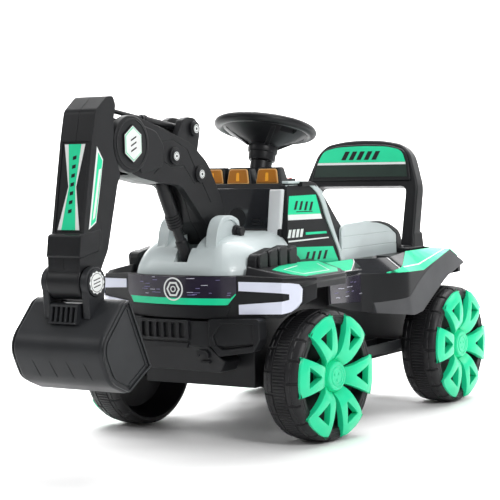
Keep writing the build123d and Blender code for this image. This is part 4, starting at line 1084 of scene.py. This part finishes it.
def build_fender_plates():
    def top_z(x):
        return 292.5 - (x - 134) * 14.5 / 71

    low = [(116, -104), (150, -101), (183, -92), (207, -60), (213, -36), (213, 62), (197, 90), (150, 106),
        (116, 106)]
    high = [(116, -96), (148, -92), (178, -83), (199, -54), (205, -32), (205, 58), (190, 83), (147, 101),
        (116, 101)]
    for sign, name in SIDES:
        bm = bmesh.new()
        mid = [(x, y, 270 if x > 160 else 276) for x, y in low]
        top = [(x, y, top_z(x)) for x, y in high]
        base = [(x - 3, y * 0.98, 262 if x > 160 else 268) for x, y in low]
        for ring_a, ring_b in ((base, mid), (mid, top)):
            add_prism(bm, [place(sign * x, y, z) for x, y, z in ring_a],
                [place(sign * x, y, z) for x, y, z in ring_b])
        piece(bm, f"fender_plate_{name}", bevel=2.0, segments=3)
        bm = bmesh.new()

        def on_plate(points, out_low, out_high, material):
            add_prism(bm, [place(sign * x, y, top_z(x) + out_low) for x, y in points],
                [place(sign * x, y, top_z(x) + out_high) for x, y in points], material)

        on_plate([(150, -72), (184, -66), (201, -50), (201, 54), (186, 78), (136, 96), (130, 40),
            (137, -30)], -0.4, 0.5, 0)
        for a, b in (((158, -48), (190, -40)), ((190, -40), (190, 44)), ((190, 44), (150, 72)),
                ((158, -48), (148, 10))):
            d = (Vector(b) - Vector(a)).normalized()
            n = Vector((-d.y, d.x)) * 1.1
            on_plate([(a[0] - n.x, a[1] - n.y), (a[0] + n.x, a[1] + n.y), (b[0] + n.x, b[1] + n.y),
                (b[0] - n.x, b[1] - n.y)], 0.5, 0.8, 1)
        piece(bm, f"fender_label_{name}", ("green", "white"), bevel=0)


def bumper_y(x, out=0.0):
    return -141 + 17 * (x / 150) ** 2 - out


def build_bumper():
    piece(made(nose_patch, [(-150, 208), (-150, 172), (-66, 166), (66, 166), (150, 172), (150, 208)], -20,
        0.0, 0, bumper_y), "bumper_beam", hides=["bumper"], bevel=1.5)
    # grille frame and slots
    grille = piece(made(nose_patch, [(-72, 209.5), (-72, 176), (30, 176), (30, 209.5)], -6, 4.5, 0,
        bumper_y), "bumper_grille")
    for k in range(6):
        x = -66.5 + 15.6 * k
        cut_with(grille, front_solid, rounded([(x, 180), (x, 205), (x + 11, 205), (x + 11, 180)], 3), -160,
            -136.5)
    # lower skid plate with a towing eye
    skid = [(-92, 168), (-92, 150), (-62, 126), (84, 124), (93, 142), (66, 168)]
    bm = bmesh.new()
    front_low = [place(x, bumper_y(x, 1.5) + (0 if z > 150 else 5), z) for x, z in skid]
    back_low = [place(x, -84, z) for x, z in skid]
    add_prism(bm, back_low, front_low)
    piece(bm, "bumper_skid", bevel=2.2, segments=3)
    bm = bmesh.new()
    nose_patch(bm, [(-66, 172), (-62, 164), (26, 164), (30, 172)], -2, 3.2, 0, bumper_y)
    hook = [(44, 156), (46, 161), (62, 161), (67, 155), (67, 148), (62, 148), (61, 154), (50, 154),
        (48, 150)]
    add_prism(bm, [place(x, bumper_y(x, 0.5), z) for x, z in hook],
        [place(x, bumper_y(x, 4.0), z) for x, z in hook])
    side = [(50, 143), (52, 139), (66, 139), (68, 143)]
    add_prism(bm, [place(x, bumper_y(x, -4), z) for x, z in side],
        [place(x, bumper_y(x, 2.0), z) for x, z in side])
    piece(bm, "bumper_detail", bevel=0.8)
    for sign, name in SIDES:
        outer = rounded([(67, 212), (157, 214), (158, 179), (146, 160), (86, 151), (68, 171)],
            [5, 8, 4, 5, 4, 4])
        pod = piece(made(add_prism, [place(sign * x, -104, z) for x, z in outer],
            [place(sign * x, bumper_y(min(x, 150), 3.0), z) for x, z in outer]), f"fog_pod_{name}",
            bevel=2.6, segments=3)
        inner = [(75, 184), (90, 205), (146, 205), (146, 170), (92, 162), (79, 170)]
        cut_with(pod, add_prism, [place(sign * x, bumper_y(x, -5), z) for x, z in inner],
            [place(sign * x, bumper_y(x, 20), z) for x, z in inner])
        lens = [(84, 184), (95, 200), (139, 200), (139, 175), (98, 168), (88, 173)]
        piece(made(add_prism, [place(sign * x, bumper_y(x, -8), z) for x, z in lens],
            [place(sign * (110 + (x - 110) * 0.93), bumper_y(x, -1.5), 184 + (z - 184) * 0.9) for x,
            z in lens]), f"fog_lens_{name}", "gloss")


build_hood()
build_nose()
build_fender_plates()
build_bumper()


# ---- cowl, dash and beacons ----
def cowl_x(y):
    """Half width of the cowl at a distance behind the axle."""
    return 100 + 18 * (y - 60) / 147


def flank(bm, points, low, high, sign, material=0, base=cowl_x):
    """Plate that lies on the sloping flank of the cowl."""
    add_prism(bm, [place(sign * (base(y) + low), y, z) for y, z in points],
        [place(sign * (base(y) + high), y, z) for y, z in points], material)


def build_cowl():
    for sign, name in SIDES:
        # dark flank plate
        piece(made(flank, rounded([(58, 284), (58, 423), (134, 423), (152, 411), (172, 366), (199, 303),
            (207, 284)], [0, 6, 8, 10, 6, 0, 0]), -2.0, 1.0, sign), f"cowl_flank_{name}", bevel=0.8)
        # pale rim that sweeps down to the seat
        rim = rounded([(60, 431), (112, 430), (134, 426), (157, 406), (170, 378), (206, 303), (222, 280),
            (206, 278), (201, 300), (162, 367), (153, 390), (143, 406), (124, 420), (109, 425.5),
            (60, 426.5)], [0, 20, 12, 10, 20, 10, 4, 0, 10, 20, 12, 12, 10, 12, 0], 4)
        piece(made(flank, rim, -10.0, 3.5, sign), f"cowl_rim_{name}", "pale", bevel=2.0, segments=3)
        # printed sheets
        bm = bmesh.new()
        flank(bm, [(60, 373), (64, 405), (138, 405), (151, 371)], 0.8, 1.5, sign, 0)
        flank(bm, [(60, 363.5), (60, 373), (151, 371), (155, 362)], 0.8, 1.5, sign, 1)
        flank(bm, [(60, 325.5), (60, 328.3), (172, 329), (173, 327)], 0.8, 1.5, sign, 1)
        flank(bm, [(108, 336), (108, 340.5), (166, 339.5), (167.5, 335.5)], 0.8, 1.5, sign, 0)
        for k in range(4):
            y = 58 + 11 * k
            flank(bm, [(y, 333), (y + 4, 347), (y + 11, 347), (y + 7, 333)], 0.8, 1.4 + 0.01 * k, sign, 1)
        for k in range(4):
            y = 76 + 14 * k
            flank(bm, [(y, 381 - k), (y + 6, 396 - k), (y + 12, 396 - k), (y + 6, 381 - k)], 1.5, 1.8, sign,
                2)
        flank(bm, [(82, 376.5), (83, 378), (128, 377), (127, 375.5)], 1.5, 1.8, sign, 2)
        piece(bm, f"cowl_label_{name}", ("green", "white", "black"), bevel=0)
        # lower sheet runs from the cowl on to the deck's shoulder
        bm = bmesh.new()
        flank(bm, [(60, 284), (62, 317), (184, 311.5), (199, 286), (201, 284)], 0.8, 1.5, sign, 0)
        for k in range(4):
            y = 104 + 17 * k
            flank(bm, [(y, 291), (y + 7, 306), (y + 14, 306), (y + 7, 291)], 1.5, 1.8, sign, 2)
        piece(bm, f"cowl_lower_label_{name}", ("green", "white", "black"), bevel=0)
        # deck shoulder beside the cowl and seat
        bm = bmesh.new()
        profile = [(116, 285), (124, 285), (140, 266), (140, 258), (116, 258)]
        add_prism(bm, [place(sign * x, 104, z) for x, z in profile],
            [place(sign * x, 330, z) for x, z in profile])
        piece(bm, f"deck_shoulder_{name}", "gloss")
        bm = bmesh.new()

        def slope(points, out_low, out_high, material):
            n = Vector((19, 16)).normalized()
            add_prism(bm, [place(sign * (124 + 16 * v + n.x * out_low), y, 285 - 19 * v + n.y * out_low)
                for y, v in points], [place(sign * (124 + 16 * v + n.x * out_high), y,
                285 - 19 * v + n.y * out_high) for y, v in points], material)

        slope([(108, 0.02), (108, 0.96), (206, 0.96), (234, 0.3), (238, 0.02)], 0.0, 0.6, 0)
        slope([(206, 0.98), (236, 0.28), (240, 0.02), (243, 0.02), (239, 0.3), (208, 1.0)], 0.0, 0.9, 1)
        slope([(108, 0.93), (108, 0.99), (208, 0.99), (207, 0.93)], 0.6, 0.9, 1)
        slope([(246, 0.05), (228, 0.8), (300, 0.8), (312, 0.05)], 0.0, 0.5, 2)
        piece(bm, f"deck_label_{name}", ("green", "white", "deep_green"), bevel=0)
        # silver corner column and the dark corner beside it
        bm = bmesh.new()
        column = [(69, 52.5), (90, 53.0), (95, 56), (97, 62), (69, 62)]
        add_prism(bm, [place(sign * (x - 9), y, 323) for x, y in column],
            [place(sign * x, y, 417) for x, y in column])
        piece(bm, f"cowl_column_{name}", "silver", ["cowl_strips"] if sign > 0 else [], bevel=2.2,
            segments=3)
        bm = bmesh.new()
        column = [(86, 57.5), (97, 59), (101.5, 63), (101, 70), (86, 70)]
        add_prism(bm, [place(sign * x, y, 300) for x, y in column],
            [place(sign * x, y, 424) for x, y in column])
        piece(bm, f"cowl_corner_{name}", bevel=2.2, segments=3)
    # glossy panel between the columns with a printed gauge
    bm = bmesh.new()
    panel = rounded([(-70, 322), (-70, 419), (70, 419), (70, 322)], 4)
    front_solid(bm, panel, 55.5, 62)
    piece(bm, "cowl_glass", "gloss", ["cowl_panel"], bevel=1.4)
    piece(made(front_solid, [(-90, 318), (-90, 349), (90, 349), (90, 318)], 53.0, 62), "cowl_ledge",
        bevel=2.0)
    bm = bmesh.new()
    ring = [(17 * cos(2 * pi * k / 40), 368 + 17 * sin(2 * pi * k / 40)) for k in range(40)]
    front_solid(bm, ring, 54.9, 56)
    front_solid(bm, [(30, 356), (30, 359), (54, 359), (54, 356)], 54.9, 56)
    front_solid(bm, [(30, 363), (30, 366), (46, 366), (46, 363)], 54.9, 56)
    piece(bm, "cowl_gauge", bevel=0)
    # dash: black cap inside the pale rim and the bulge on the rider's side
    bm = bmesh.new()
    cap = rounded([(90, 421), (90, 429), (120, 429), (140, 423), (161, 404), (221, 345), (224, 338),
        (223, 304), (217, 300), (200, 302), (168, 366), (150, 404), (134, 421)],
        [0, 3, 10, 10, 20, 4, 4, 4, 2, 0, 0, 0, 0])
    side_solid(bm, cap, -113, 113)
    dash = piece(bm, "dash_body", hides=["dash_shell"], bevel=2.4, segments=3)
    for x in (60, -60):
        cut_with(dash, box_solid, x - 8.6, x + 8.6, 104.5, 131.5, 421.5, 440)
        bm = bmesh.new()
        frame_out = [(x - 12, 101), (x + 12, 101), (x + 12, 135), (x - 12, 135)]
        frame_in = [(x - 8.6, 104.5), (x + 8.6, 104.5), (x + 8.6, 131.5), (x - 8.6, 131.5)]
        for (a, b), (c, d) in zip(zip(frame_out, frame_out[1:] + frame_out[:1]),
                zip(frame_in, frame_in[1:] + frame_in[:1])):
            quad = [a, b, d, c]
            add_prism(bm, [place(px, py, 427) for px, py in quad],
                [place(px, py, 433.5) for px, py in quad])
        piece(bm, f"switch_bezel_{'left' if x > 0 else 'right'}", bevel=0.4)


def build_beacons():
    for number in (-1, 0, 1):
        x = number * 57
        y = 61 + 5 * abs(number)
        bm = bmesh.new()
        low = [(x - 26, y), (x + 26, y), (x + 28, y + 8), (x + 27, y + 30), (x - 27, y + 30),
            (x - 28, y + 8)]
        high = [(x - 21, y + 3), (x + 21, y + 3), (x + 22, y + 9), (x + 20, y + 24), (x - 20, y + 24),
            (x - 22, y + 9)]
        add_prism(bm, [place(px, py, 423) for px, py in low], [place(px, py, 455) for px, py in high])
        piece(bm, f"beacon_house_{number + 1}", hides=["lamp_bar"] if not number else [], bevel=3.2,
            segments=4)

        def lens(half_low, half_high, z_low, z_high, out, round_by):
            pts = rounded([(x - half_low, z_low), (x - half_high, z_high), (x + half_high, z_high),
                (x + half_low, z_low)], [2, round_by, round_by, 2], 4)

            def front(z):
                return y + 3 * (z - 423) / 32 - out
            return [place(px, front(pz), pz) for px, pz in pts], [place(px, front(pz) + 4, pz) for px,
                pz in pts]

        piece(made(add_prism, *lens(22.5, 18.5, 427, 452.5, 1.6, 5), 1), f"beacon_border_{number + 1}",
            ("amber", "amber_light"), bevel=0)
        piece(made(add_prism, *lens(21.0, 17.2, 428.4, 451.2, 2.8, 4), 0), f"beacon_lens_{number + 1}",
            "amber", ["beacon_lenses"] if not number else [])
        # bright amber strip down the front of each lens: a painted highlight
        bm = bmesh.new()
        bar = rounded([(x - 3.4, 431.5), (x - 2.8, 446), (x + 2.8, 446), (x + 3.4, 431.5)], 2)
        add_prism(bm, [place(px, y - 3.1 + 3 * (pz - 423) / 32, pz) for px, pz in bar],
            [place(px, y + 3 * (pz - 423) / 32, pz) for px, pz in bar])
        piece(bm, f"beacon_painted_highlight_{number + 1}", "amber_glow", bevel=0)
    piece(made(add_prism, [place(px, py, 417) for px, py in ((-88, 56), (88, 56), (95, 64), (97, 92),
        (-97, 92), (-95, 64))], [place(px, py, 427) for px, py in ((-88, 59), (88, 59), (94, 66), (96, 92),
        (-96, 92), (-94, 66))]), "beacon_plinth", bevel=1.5)


# ---- steering wheel ----
def build_steering():
    tilt = radians(15)
    centre = place(0, 153, 523)
    # local axes: x across, z along the column to the rider
    turn = Matrix.Translation(centre) @ Matrix.Rotation(tilt * -1, 4, "X")
    bm = bmesh.new()
    grip, grip_centre = 9.0, 83.0
    section = [(grip * sin(a) * 0.95, grip_centre + grip * cos(a))
        for a in (2 * pi * k / 24 for k in range(24))]
    lathe_ring(bm, section, 128, turn)
    piece(bm, "steering_rim", hides=["steering_wheel"], body="steering", bevel=0, smooth=60)
    bm = bmesh.new()
    dish = [(-2, 79), (-6, 76), (-14, 64), (-24, 45), (-30, 31), (-33, 27), (-33, 0.01)]
    inner = [(-29, 0.01), (-27, 26), (-20, 45), (-10, 61), (-2, 71), (2, 76)]
    lathe_z(bm, inner + dish[::-1], 96, turn)
    obj = piece(bm, "steering_dish", body="steering", bevel=0, smooth=40)
    for start in (-34, 166):
        tool = bmesh.new()
        low, high = [], []
        for k in range(9):
            a = radians(start + 28 * k / 8)
            low.append((64 * cos(a), 64 * sin(a)))
            high.append((73 * cos(a), 73 * sin(a)))
        pts = low + list(reversed(high))
        add_prism(tool, [turn @ Vector((px * MM, py * MM, -40 * MM)) for px, py in pts],
            [turn @ Vector((px * MM, py * MM, 30 * MM)) for px, py in pts])
        cut(obj, tool)
    bm = bmesh.new()
    # raised ribs behind the dish
    for k in range(4):
        a = radians(45 + 90 * k)
        d, n = Vector((cos(a), sin(a))), Vector((-sin(a), cos(a)))
        side = ((26, -31), (72, -6), (72, -10), (28, -35.5))
        lo = [turn @ Vector(((d.x * r + n.x * 4) * MM, (d.y * r + n.y * 4) * MM, s * MM)) for r, s in side]
        hi = [turn @ Vector(((d.x * r - n.x * 4) * MM, (d.y * r - n.y * 4) * MM, s * MM)) for r, s in side]
        add_prism(bm, lo, hi)
    piece(bm, "steering_ribs", body="steering", bevel=1.0)
    piece(made(lathe_z, [(-31, 0.01), (-31, 24.5), (-34, 26.5), (-41, 27.0), (-45, 26.2), (-46, 24.6),
        (-58, 24.2), (-60, 22.5), (-60, 0.01)], 72, turn), "steering_collar", body="steering", bevel=0,
        smooth=40)
    # neck of the dash, screw, ring at its foot
    piece(made(lathe_z, [(-61, 0.01), (-61, 18.6), (-63, 19.6), (-128, 20.0), (-136, 22.0), (-140, 0.01)],
        64, turn), "steering_neck", body="steering", bevel=0, smooth=40)
    bm = bmesh.new()
    screw = turn @ Matrix.Translation((14.5 * MM, -14.2 * MM, -84 * MM)) @ Matrix.Rotation(radians(-45), 4,
        "Z")
    cross = screw @ Matrix.Rotation(radians(90), 4, "X")
    lathe_z(bm, [(-1, 0.01), (-1, 3.4), (0.4, 3.2), (1.2, 2.2), (1.4, 0.01)], 24, cross)
    piece(bm, "steering_screw", "steel", body="steering", bevel=0, smooth=40)


def turned_ring(bm, section, angle, turn):
    """Vertices of a (z, radius) section turned by an angle about local z."""
    return [bm.verts.new(turn @ Vector((r * cos(angle) * MM, r * sin(angle) * MM, z * MM))) for z,
        r in section]


def lathe_z(bm, profile, count, turn):
    """Revolved piece about local z; profile is (z, radius) in mm from one end to the other."""
    angles = [2 * pi * k / count for k in range(count)]
    rings = [[turned_ring(bm, [point], a, turn)[0] for a in angles] for point in profile]
    for a, b in zip(rings, rings[1:]):
        for k in range(count):
            j = (k + 1) % count
            bm.faces.new((a[k], a[j], b[j], b[k]))


def lathe_ring(bm, section, count, turn):
    """Revolved closed section (z, radius) about local z."""
    rings = [turned_ring(bm, section, 2 * pi * k / count, turn) for k in range(count)]
    for i in range(count):
        a, b = rings[i], rings[(i + 1) % count]
        for k in range(len(section)):
            j = (k + 1) % len(section)
            bm.faces.new((a[k], a[j], b[j], b[k]))


build_cowl()
build_beacons()
build_steering()


# ---- seat, seat back, waist and rear fenders ----
BACK_FOOT, BACK_LEAN = (470.0, 292.0), radians(12)


def back_point(u, s, out):
    """Point on the seat back: u across, s up the lean, out towards the nose."""
    y = BACK_FOOT[0] + s * sin(BACK_LEAN) - out * cos(BACK_LEAN)
    z = BACK_FOOT[1] + s * cos(BACK_LEAN) + out * sin(BACK_LEAN)
    return place(u, y, z)


def back_solid(bm, points, low, high, material=0):
    add_prism(bm, [back_point(u, s, low) for u, s in points], [back_point(u, s, high) for u, s in points],
        material)


def build_seat():
    outline = rounded([(213, 284), (213, 340), (224, 348), (300, 350), (352, 346), (392, 338), (421, 322),
        (421, 284)], [0, 6, 10, 0, 20, 16, 6, 0], 6)
    seat = piece(made(side_solid, outline, -118, 118), "seat_body", "pale", ["seat"], bevel=4.0, segments=4)
    for sign, _ in SIDES:
        for z in (304, 326):
            cut_with(seat, side_solid, [(205, z - 0.6), (205, z + 0.6), (430, z + 0.6), (430, z - 0.6)],
                *span(117.2, 125, sign))
    # black cap that runs over the seat's rear edge
    bm = bmesh.new()
    cap = rounded([(318, 347.5), (352, 349), (392, 342), (428, 327), (439, 314), (436, 284), (421, 284),
        (420, 320), (390, 336), (352, 344.5)], [0, 20, 16, 8, 6, 0, 0, 4, 16, 20], 6)
    side_solid(bm, cap, -119.5, 119.5)
    piece(bm, "seat_cap", bevel=2.0, segments=3)


def build_seat_back():
    outline = rounded([(-126, -14), (-126, 122), (-104, 184), (-84, 203), (-44, 210.5), (0, 212.5),
        (44, 210.5), (84, 203), (104, 184), (126, 122), (126, -14)],
        [0, 14, 18, 22, 30, 40, 30, 22, 18, 14, 0], 6)
    frame_obj = piece(made(back_solid, outline, -32, 0), "seat_back_frame", hides=["seat_back"], bevel=5.5,
        segments=5)
    apply_modifiers(frame_obj)
    window = rounded([(-100, -30), (-102, 119), (102, 119), (100, -30)], [0, 14, 14, 0], 6)
    cut_with(frame_obj, back_solid, window, -50, 20)
    add_bevel(frame_obj, 2.2, 3, 50)
    weigh_normals(frame_obj)
    piece(made(back_solid, [(-101, -10), (-101, 16), (101, 16), (101, -10)], -30, -2), "seat_back_rail",
        bevel=3)
    # raised panel: dark pad with the green sheet above
    pad = rounded([(-112, 129), (-104, 166), (-94, 190), (-60, 200.5), (0, 203), (60, 200.5), (94, 190),
        (104, 166), (112, 129)], [6, 8, 14, 20, 40, 20, 14, 8, 6], 5)
    piece(made(back_solid, pad, -1, 3.2), "seat_back_pad", bevel=2.6, segments=3)
    bm = bmesh.new()
    back_solid(bm, rounded([(-98, 166), (-88, 189), (-58, 196.5), (0, 199), (58, 196.5), (88, 189),
        (98, 166)], [0, 12, 20, 40, 20, 12, 0], 5), 3.2, 4.0, 0)
    back_solid(bm, [(-99.2, 161.2), (-98.2, 165.6), (98.2, 165.6), (99.2, 161.2)], 3.2, 4.1, 1)
    back_solid(bm, [(-104.5, 137), (-99.6, 160.5), (99.6, 160.5), (104.5, 137)], 3.2, 3.8, 2)
    for k in range(5):
        u = -38 + 17 * k
        back_solid(bm, [(u - 7, 171), (u + 1, 188), (u + 11, 188), (u + 3, 171)], 4.0, 4.3, 3)
    piece(bm, "seat_back_sheet", ("green", "white", "deep_green", "black"), ["seat_back_panel"], bevel=0)
    for sign, name in SIDES:
        bm = bmesh.new()
        low = [(100, 466), (130, 466), (131, 514), (100, 514)]
        high = [(100, 478), (126, 478), (126, 515), (100, 515)]
        add_prism(bm, [place(sign * x, y, 280) for x, y in low], [place(sign * x, y, 320) for x, y in high])
        piece(bm, f"seat_back_foot_{name}", bevel=4, segments=3)


def fender_x(y):
    """Outer half width of the waist and fender."""
    if y < 234:
        return 140.0
    if y > 304:
        return 205.0
    t = (y - 234) / 70
    return 140 + 65 * (3 * t * t - 2 * t ** 3)


def shell_strip(bm, sign, ys, corners):
    """Wall along y; corners gives its outer low and high and inner high and low (x, z) at each y."""
    sections = [corners(y) for y in ys]
    loops = [[bm.verts.new(place(sign * section[k][0], y, section[k][1])) for y,
        section in zip(ys, sections)] for k in range(4)]
    for a, b in zip(loops, loops[1:] + loops[:1]):
        for i in range(len(a) - 1):
            bm.faces.new((a[i], a[i + 1], b[i + 1], b[i]))
    bm.faces.new([loop[0] for loop in loops])
    bm.faces.new([loop[-1] for loop in reversed(loops)])


def line_at(points, y):
    for (y0, z0), (y1, z1) in zip(points, points[1:]):
        if y <= y1:
            return z0 + (z1 - z0) * (y - y0) / (y1 - y0)
    return points[-1][1]


BODY_LOW = [(126, 212), (150, 206), (209, 193), (262, 187), (314, 181), (344, 185), (386, 209), (444, 241),
    (520, 262)]
RIM_TOP = [(126, 218), (150, 213), (215, 205), (262, 205.5), (306, 214), (331, 232), (367, 252), (414, 272),
    (470, 287), (520, 287)]
SHOULDER = [(126, 258), (250, 258), (300, 259), (362, 258), (419, 274), (472, 289), (520, 262)]


def shoulder_line(y):
    """Outer height, inner half width and inner height of the slope between flank and deck."""
    x = fender_x(y)
    z_out = line_at(SHOULDER, min(y, 472))
    x_in = 124 + (x - 140) * 0.66
    z_in = 285 + 6 * min(1, max(0, (y - 300) / 60))
    if y > 472:
        z_out = 289 - (y - 472) * 0.45
        z_in = 293 - (y - 472) * 0.45
    return min(z_out, z_in - 2), x_in, z_in


def side_section(y):
    """Side wall below the shoulder."""
    x, low = fender_x(y), line_at(BODY_LOW, y)
    high = max(line_at(SHOULDER, y), low + 1)
    return (x, low), (x, high), (x - 6, high), (x - 6, low)


def shoulder_section(y):
    """Slope from the side wall up to the deck."""
    x = fender_x(y)
    z, inner_x, deck_z = shoulder_line(y)
    return (x, z), (inner_x, deck_z), (inner_x - 2, deck_z - 6), (x - 4, z - 5)


def rim_section(y):
    """Raised rim round the wheel arch; its grey colour on black plastic is painted sheen for its flared
    face.
    """
    x, low = fender_x(y), line_at(BODY_LOW, y) - 1.5
    high = 287 - (y - 470) * 0.42 if y > 470 else line_at(RIM_TOP, y)
    return (x + 7, low), (x + 0.8, high), (x - 5, high - 1), (x - 14, low)


def build_waist():
    flare = [257, 264, 271, 278, 285, 292, 299, 306, 313, 320, 332, 344]
    side_ys = [126, 140, 160, 180, 200, 220, 240, 250, *flare, 360, 375, 390, 410, 430, 450, 470, 474, 490,
        505, 518]
    rim_ys = [*flare, 356, 367, 380, 395, 414, 430, 450, 470, 490, 505, 519]
    for sign, name in SIDES:
        # the fender rim is black plastic coloured grey: painted sheen on its flared face
        for part, ys, section, mat, bevel in (("waist_side", side_ys, side_section, "black", 1.2),
                ("waist_shoulder", side_ys[:-1], shoulder_section, "gloss", 0.8),
                ("fender_rim", rim_ys, rim_section, "rim_grey", 1.0)):
            hides = ["body"] if sign > 0 and part == "waist_side" else []
            piece(made(shell_strip, sign, ys, section), f"{part}_{name}", mat, hides, bevel=bevel)
        # fender's printed sheet with its pinstripe
        bm = bmesh.new()

        def sheet(points, material, lift=0.7):
            lower = [place(sign * x, y, z - 0.6) for x, y, z in points]
            upper = [place(sign * (x + lift * 0.4), y, z + lift) for x, y, z in points]
            add_prism(bm, lower, upper, material)

        def on_slope(y, v):
            """v 0 at the shoulder's outer edge, 1 at the deck."""
            x = fender_x(y)
            z1, inner_x, deck_z = shoulder_line(y)
            return (x + (inner_x - x) * v, y, z1 + (deck_z - z1) * v)

        strips = [272, 280, 288, 296, 304, 312, 320, 332, 344, 362, 380, 400, 419, 430, 445, 460, 472, 488,
            503]
        for a, b in zip(strips, strips[1:]):
            def top(y):
                return min(0.99, max(0.02, (y - 271) / 92))
            quad = [on_slope(a, 0.0), on_slope(b, 0.0), on_slope(b, top(b)), on_slope(a, top(a))]
            sheet(quad, 0)
            if a >= 304:
                lo, hi = 0.26, 0.31
                sheet([on_slope(a, lo), on_slope(b, lo), on_slope(b, hi), on_slope(a, hi)], 1, 1.0)
        piece(bm, f"fender_sheet_{name}", ("green", "white"), bevel=0)
        # smoked side panel with its dashes
        bm = bmesh.new()
        glass = ((128, 250), (131, 214), (236, 208), (238, 257), (140, 257))
        side_solid(bm, glass, sign * 141.6, sign * 139)
        piece(bm, f"side_glass_{name}", "smoked", ["side_panels"] if sign > 0 else [], bevel=0.5)
        bm = bmesh.new()
        rng = random.Random(11)
        for k in range(16):
            y = rng.uniform(140, 232)
            z = 222 + 8 * (k % 4) + rng.uniform(-1, 1)
            length = rng.uniform(5, 13)
            dash = ((y, z), (y, z + 0.8), (y + length, z + 1.0), (y + length, z + 0.2))
            side_solid(bm, dash, sign * 141.5, sign * 142, k % 2)
        piece(bm, f"side_dashes_{name}", ("dash_light", "dash_violet"), bevel=0)
    # deck, rear wall and underside of the waist
    bm = bmesh.new()
    side_solid(bm, [(101, 258), (101, 283), (426, 284), (440, 297.5), (474, 294), (518, 263), (505, 262),
        (470, 285), (440, 288), (424, 258)], -124, 124)
    add_prism(bm, [place(x, 474, z) for x, z in ((-200, 286), (200, 286), (150, 294), (-150, 294))],
        [place(x, 518, z) for x, z in ((-203, 258), (203, 258), (203, 264), (-203, 264))])
    add_prism(bm, [place(x, 424, z) for x, z in ((-140, 280), (140, 280), (146, 293), (-146, 293))],
        [place(x, 476, z) for x, z in ((-150, 284), (150, 284), (146, 293.6), (-146, 293.6))])
    ridge = [330, 345, 360, 380, 400, 430, 460, 474]
    rim_line = [(shoulder_line(y)[1] - 0.5, y) for y in ridge]
    plan_solid(bm, [(-x, y) for x, y in reversed(rim_line)] + rim_line, 262, 284.5)
    piece(bm, "waist_deck", bevel=1.5)
    bm = bmesh.new()
    rear = [(-204, 262), (-204, 243), (-150, 232), (150, 232), (204, 243), (204, 262)]
    add_prism(bm, [place(x, 508, z) for x, z in rear], [place(x, 519, z) for x, z in rear])
    for k in range(7):
        x = -60 + 20 * k
        front_solid(bm, [(x - 5, 240), (x - 5, 256), (x + 5, 256), (x + 5, 240)], 518, 520.5)
    piece(bm, "waist_rear", bevel=1.5)


build_seat()
build_seat_back()
build_waist()
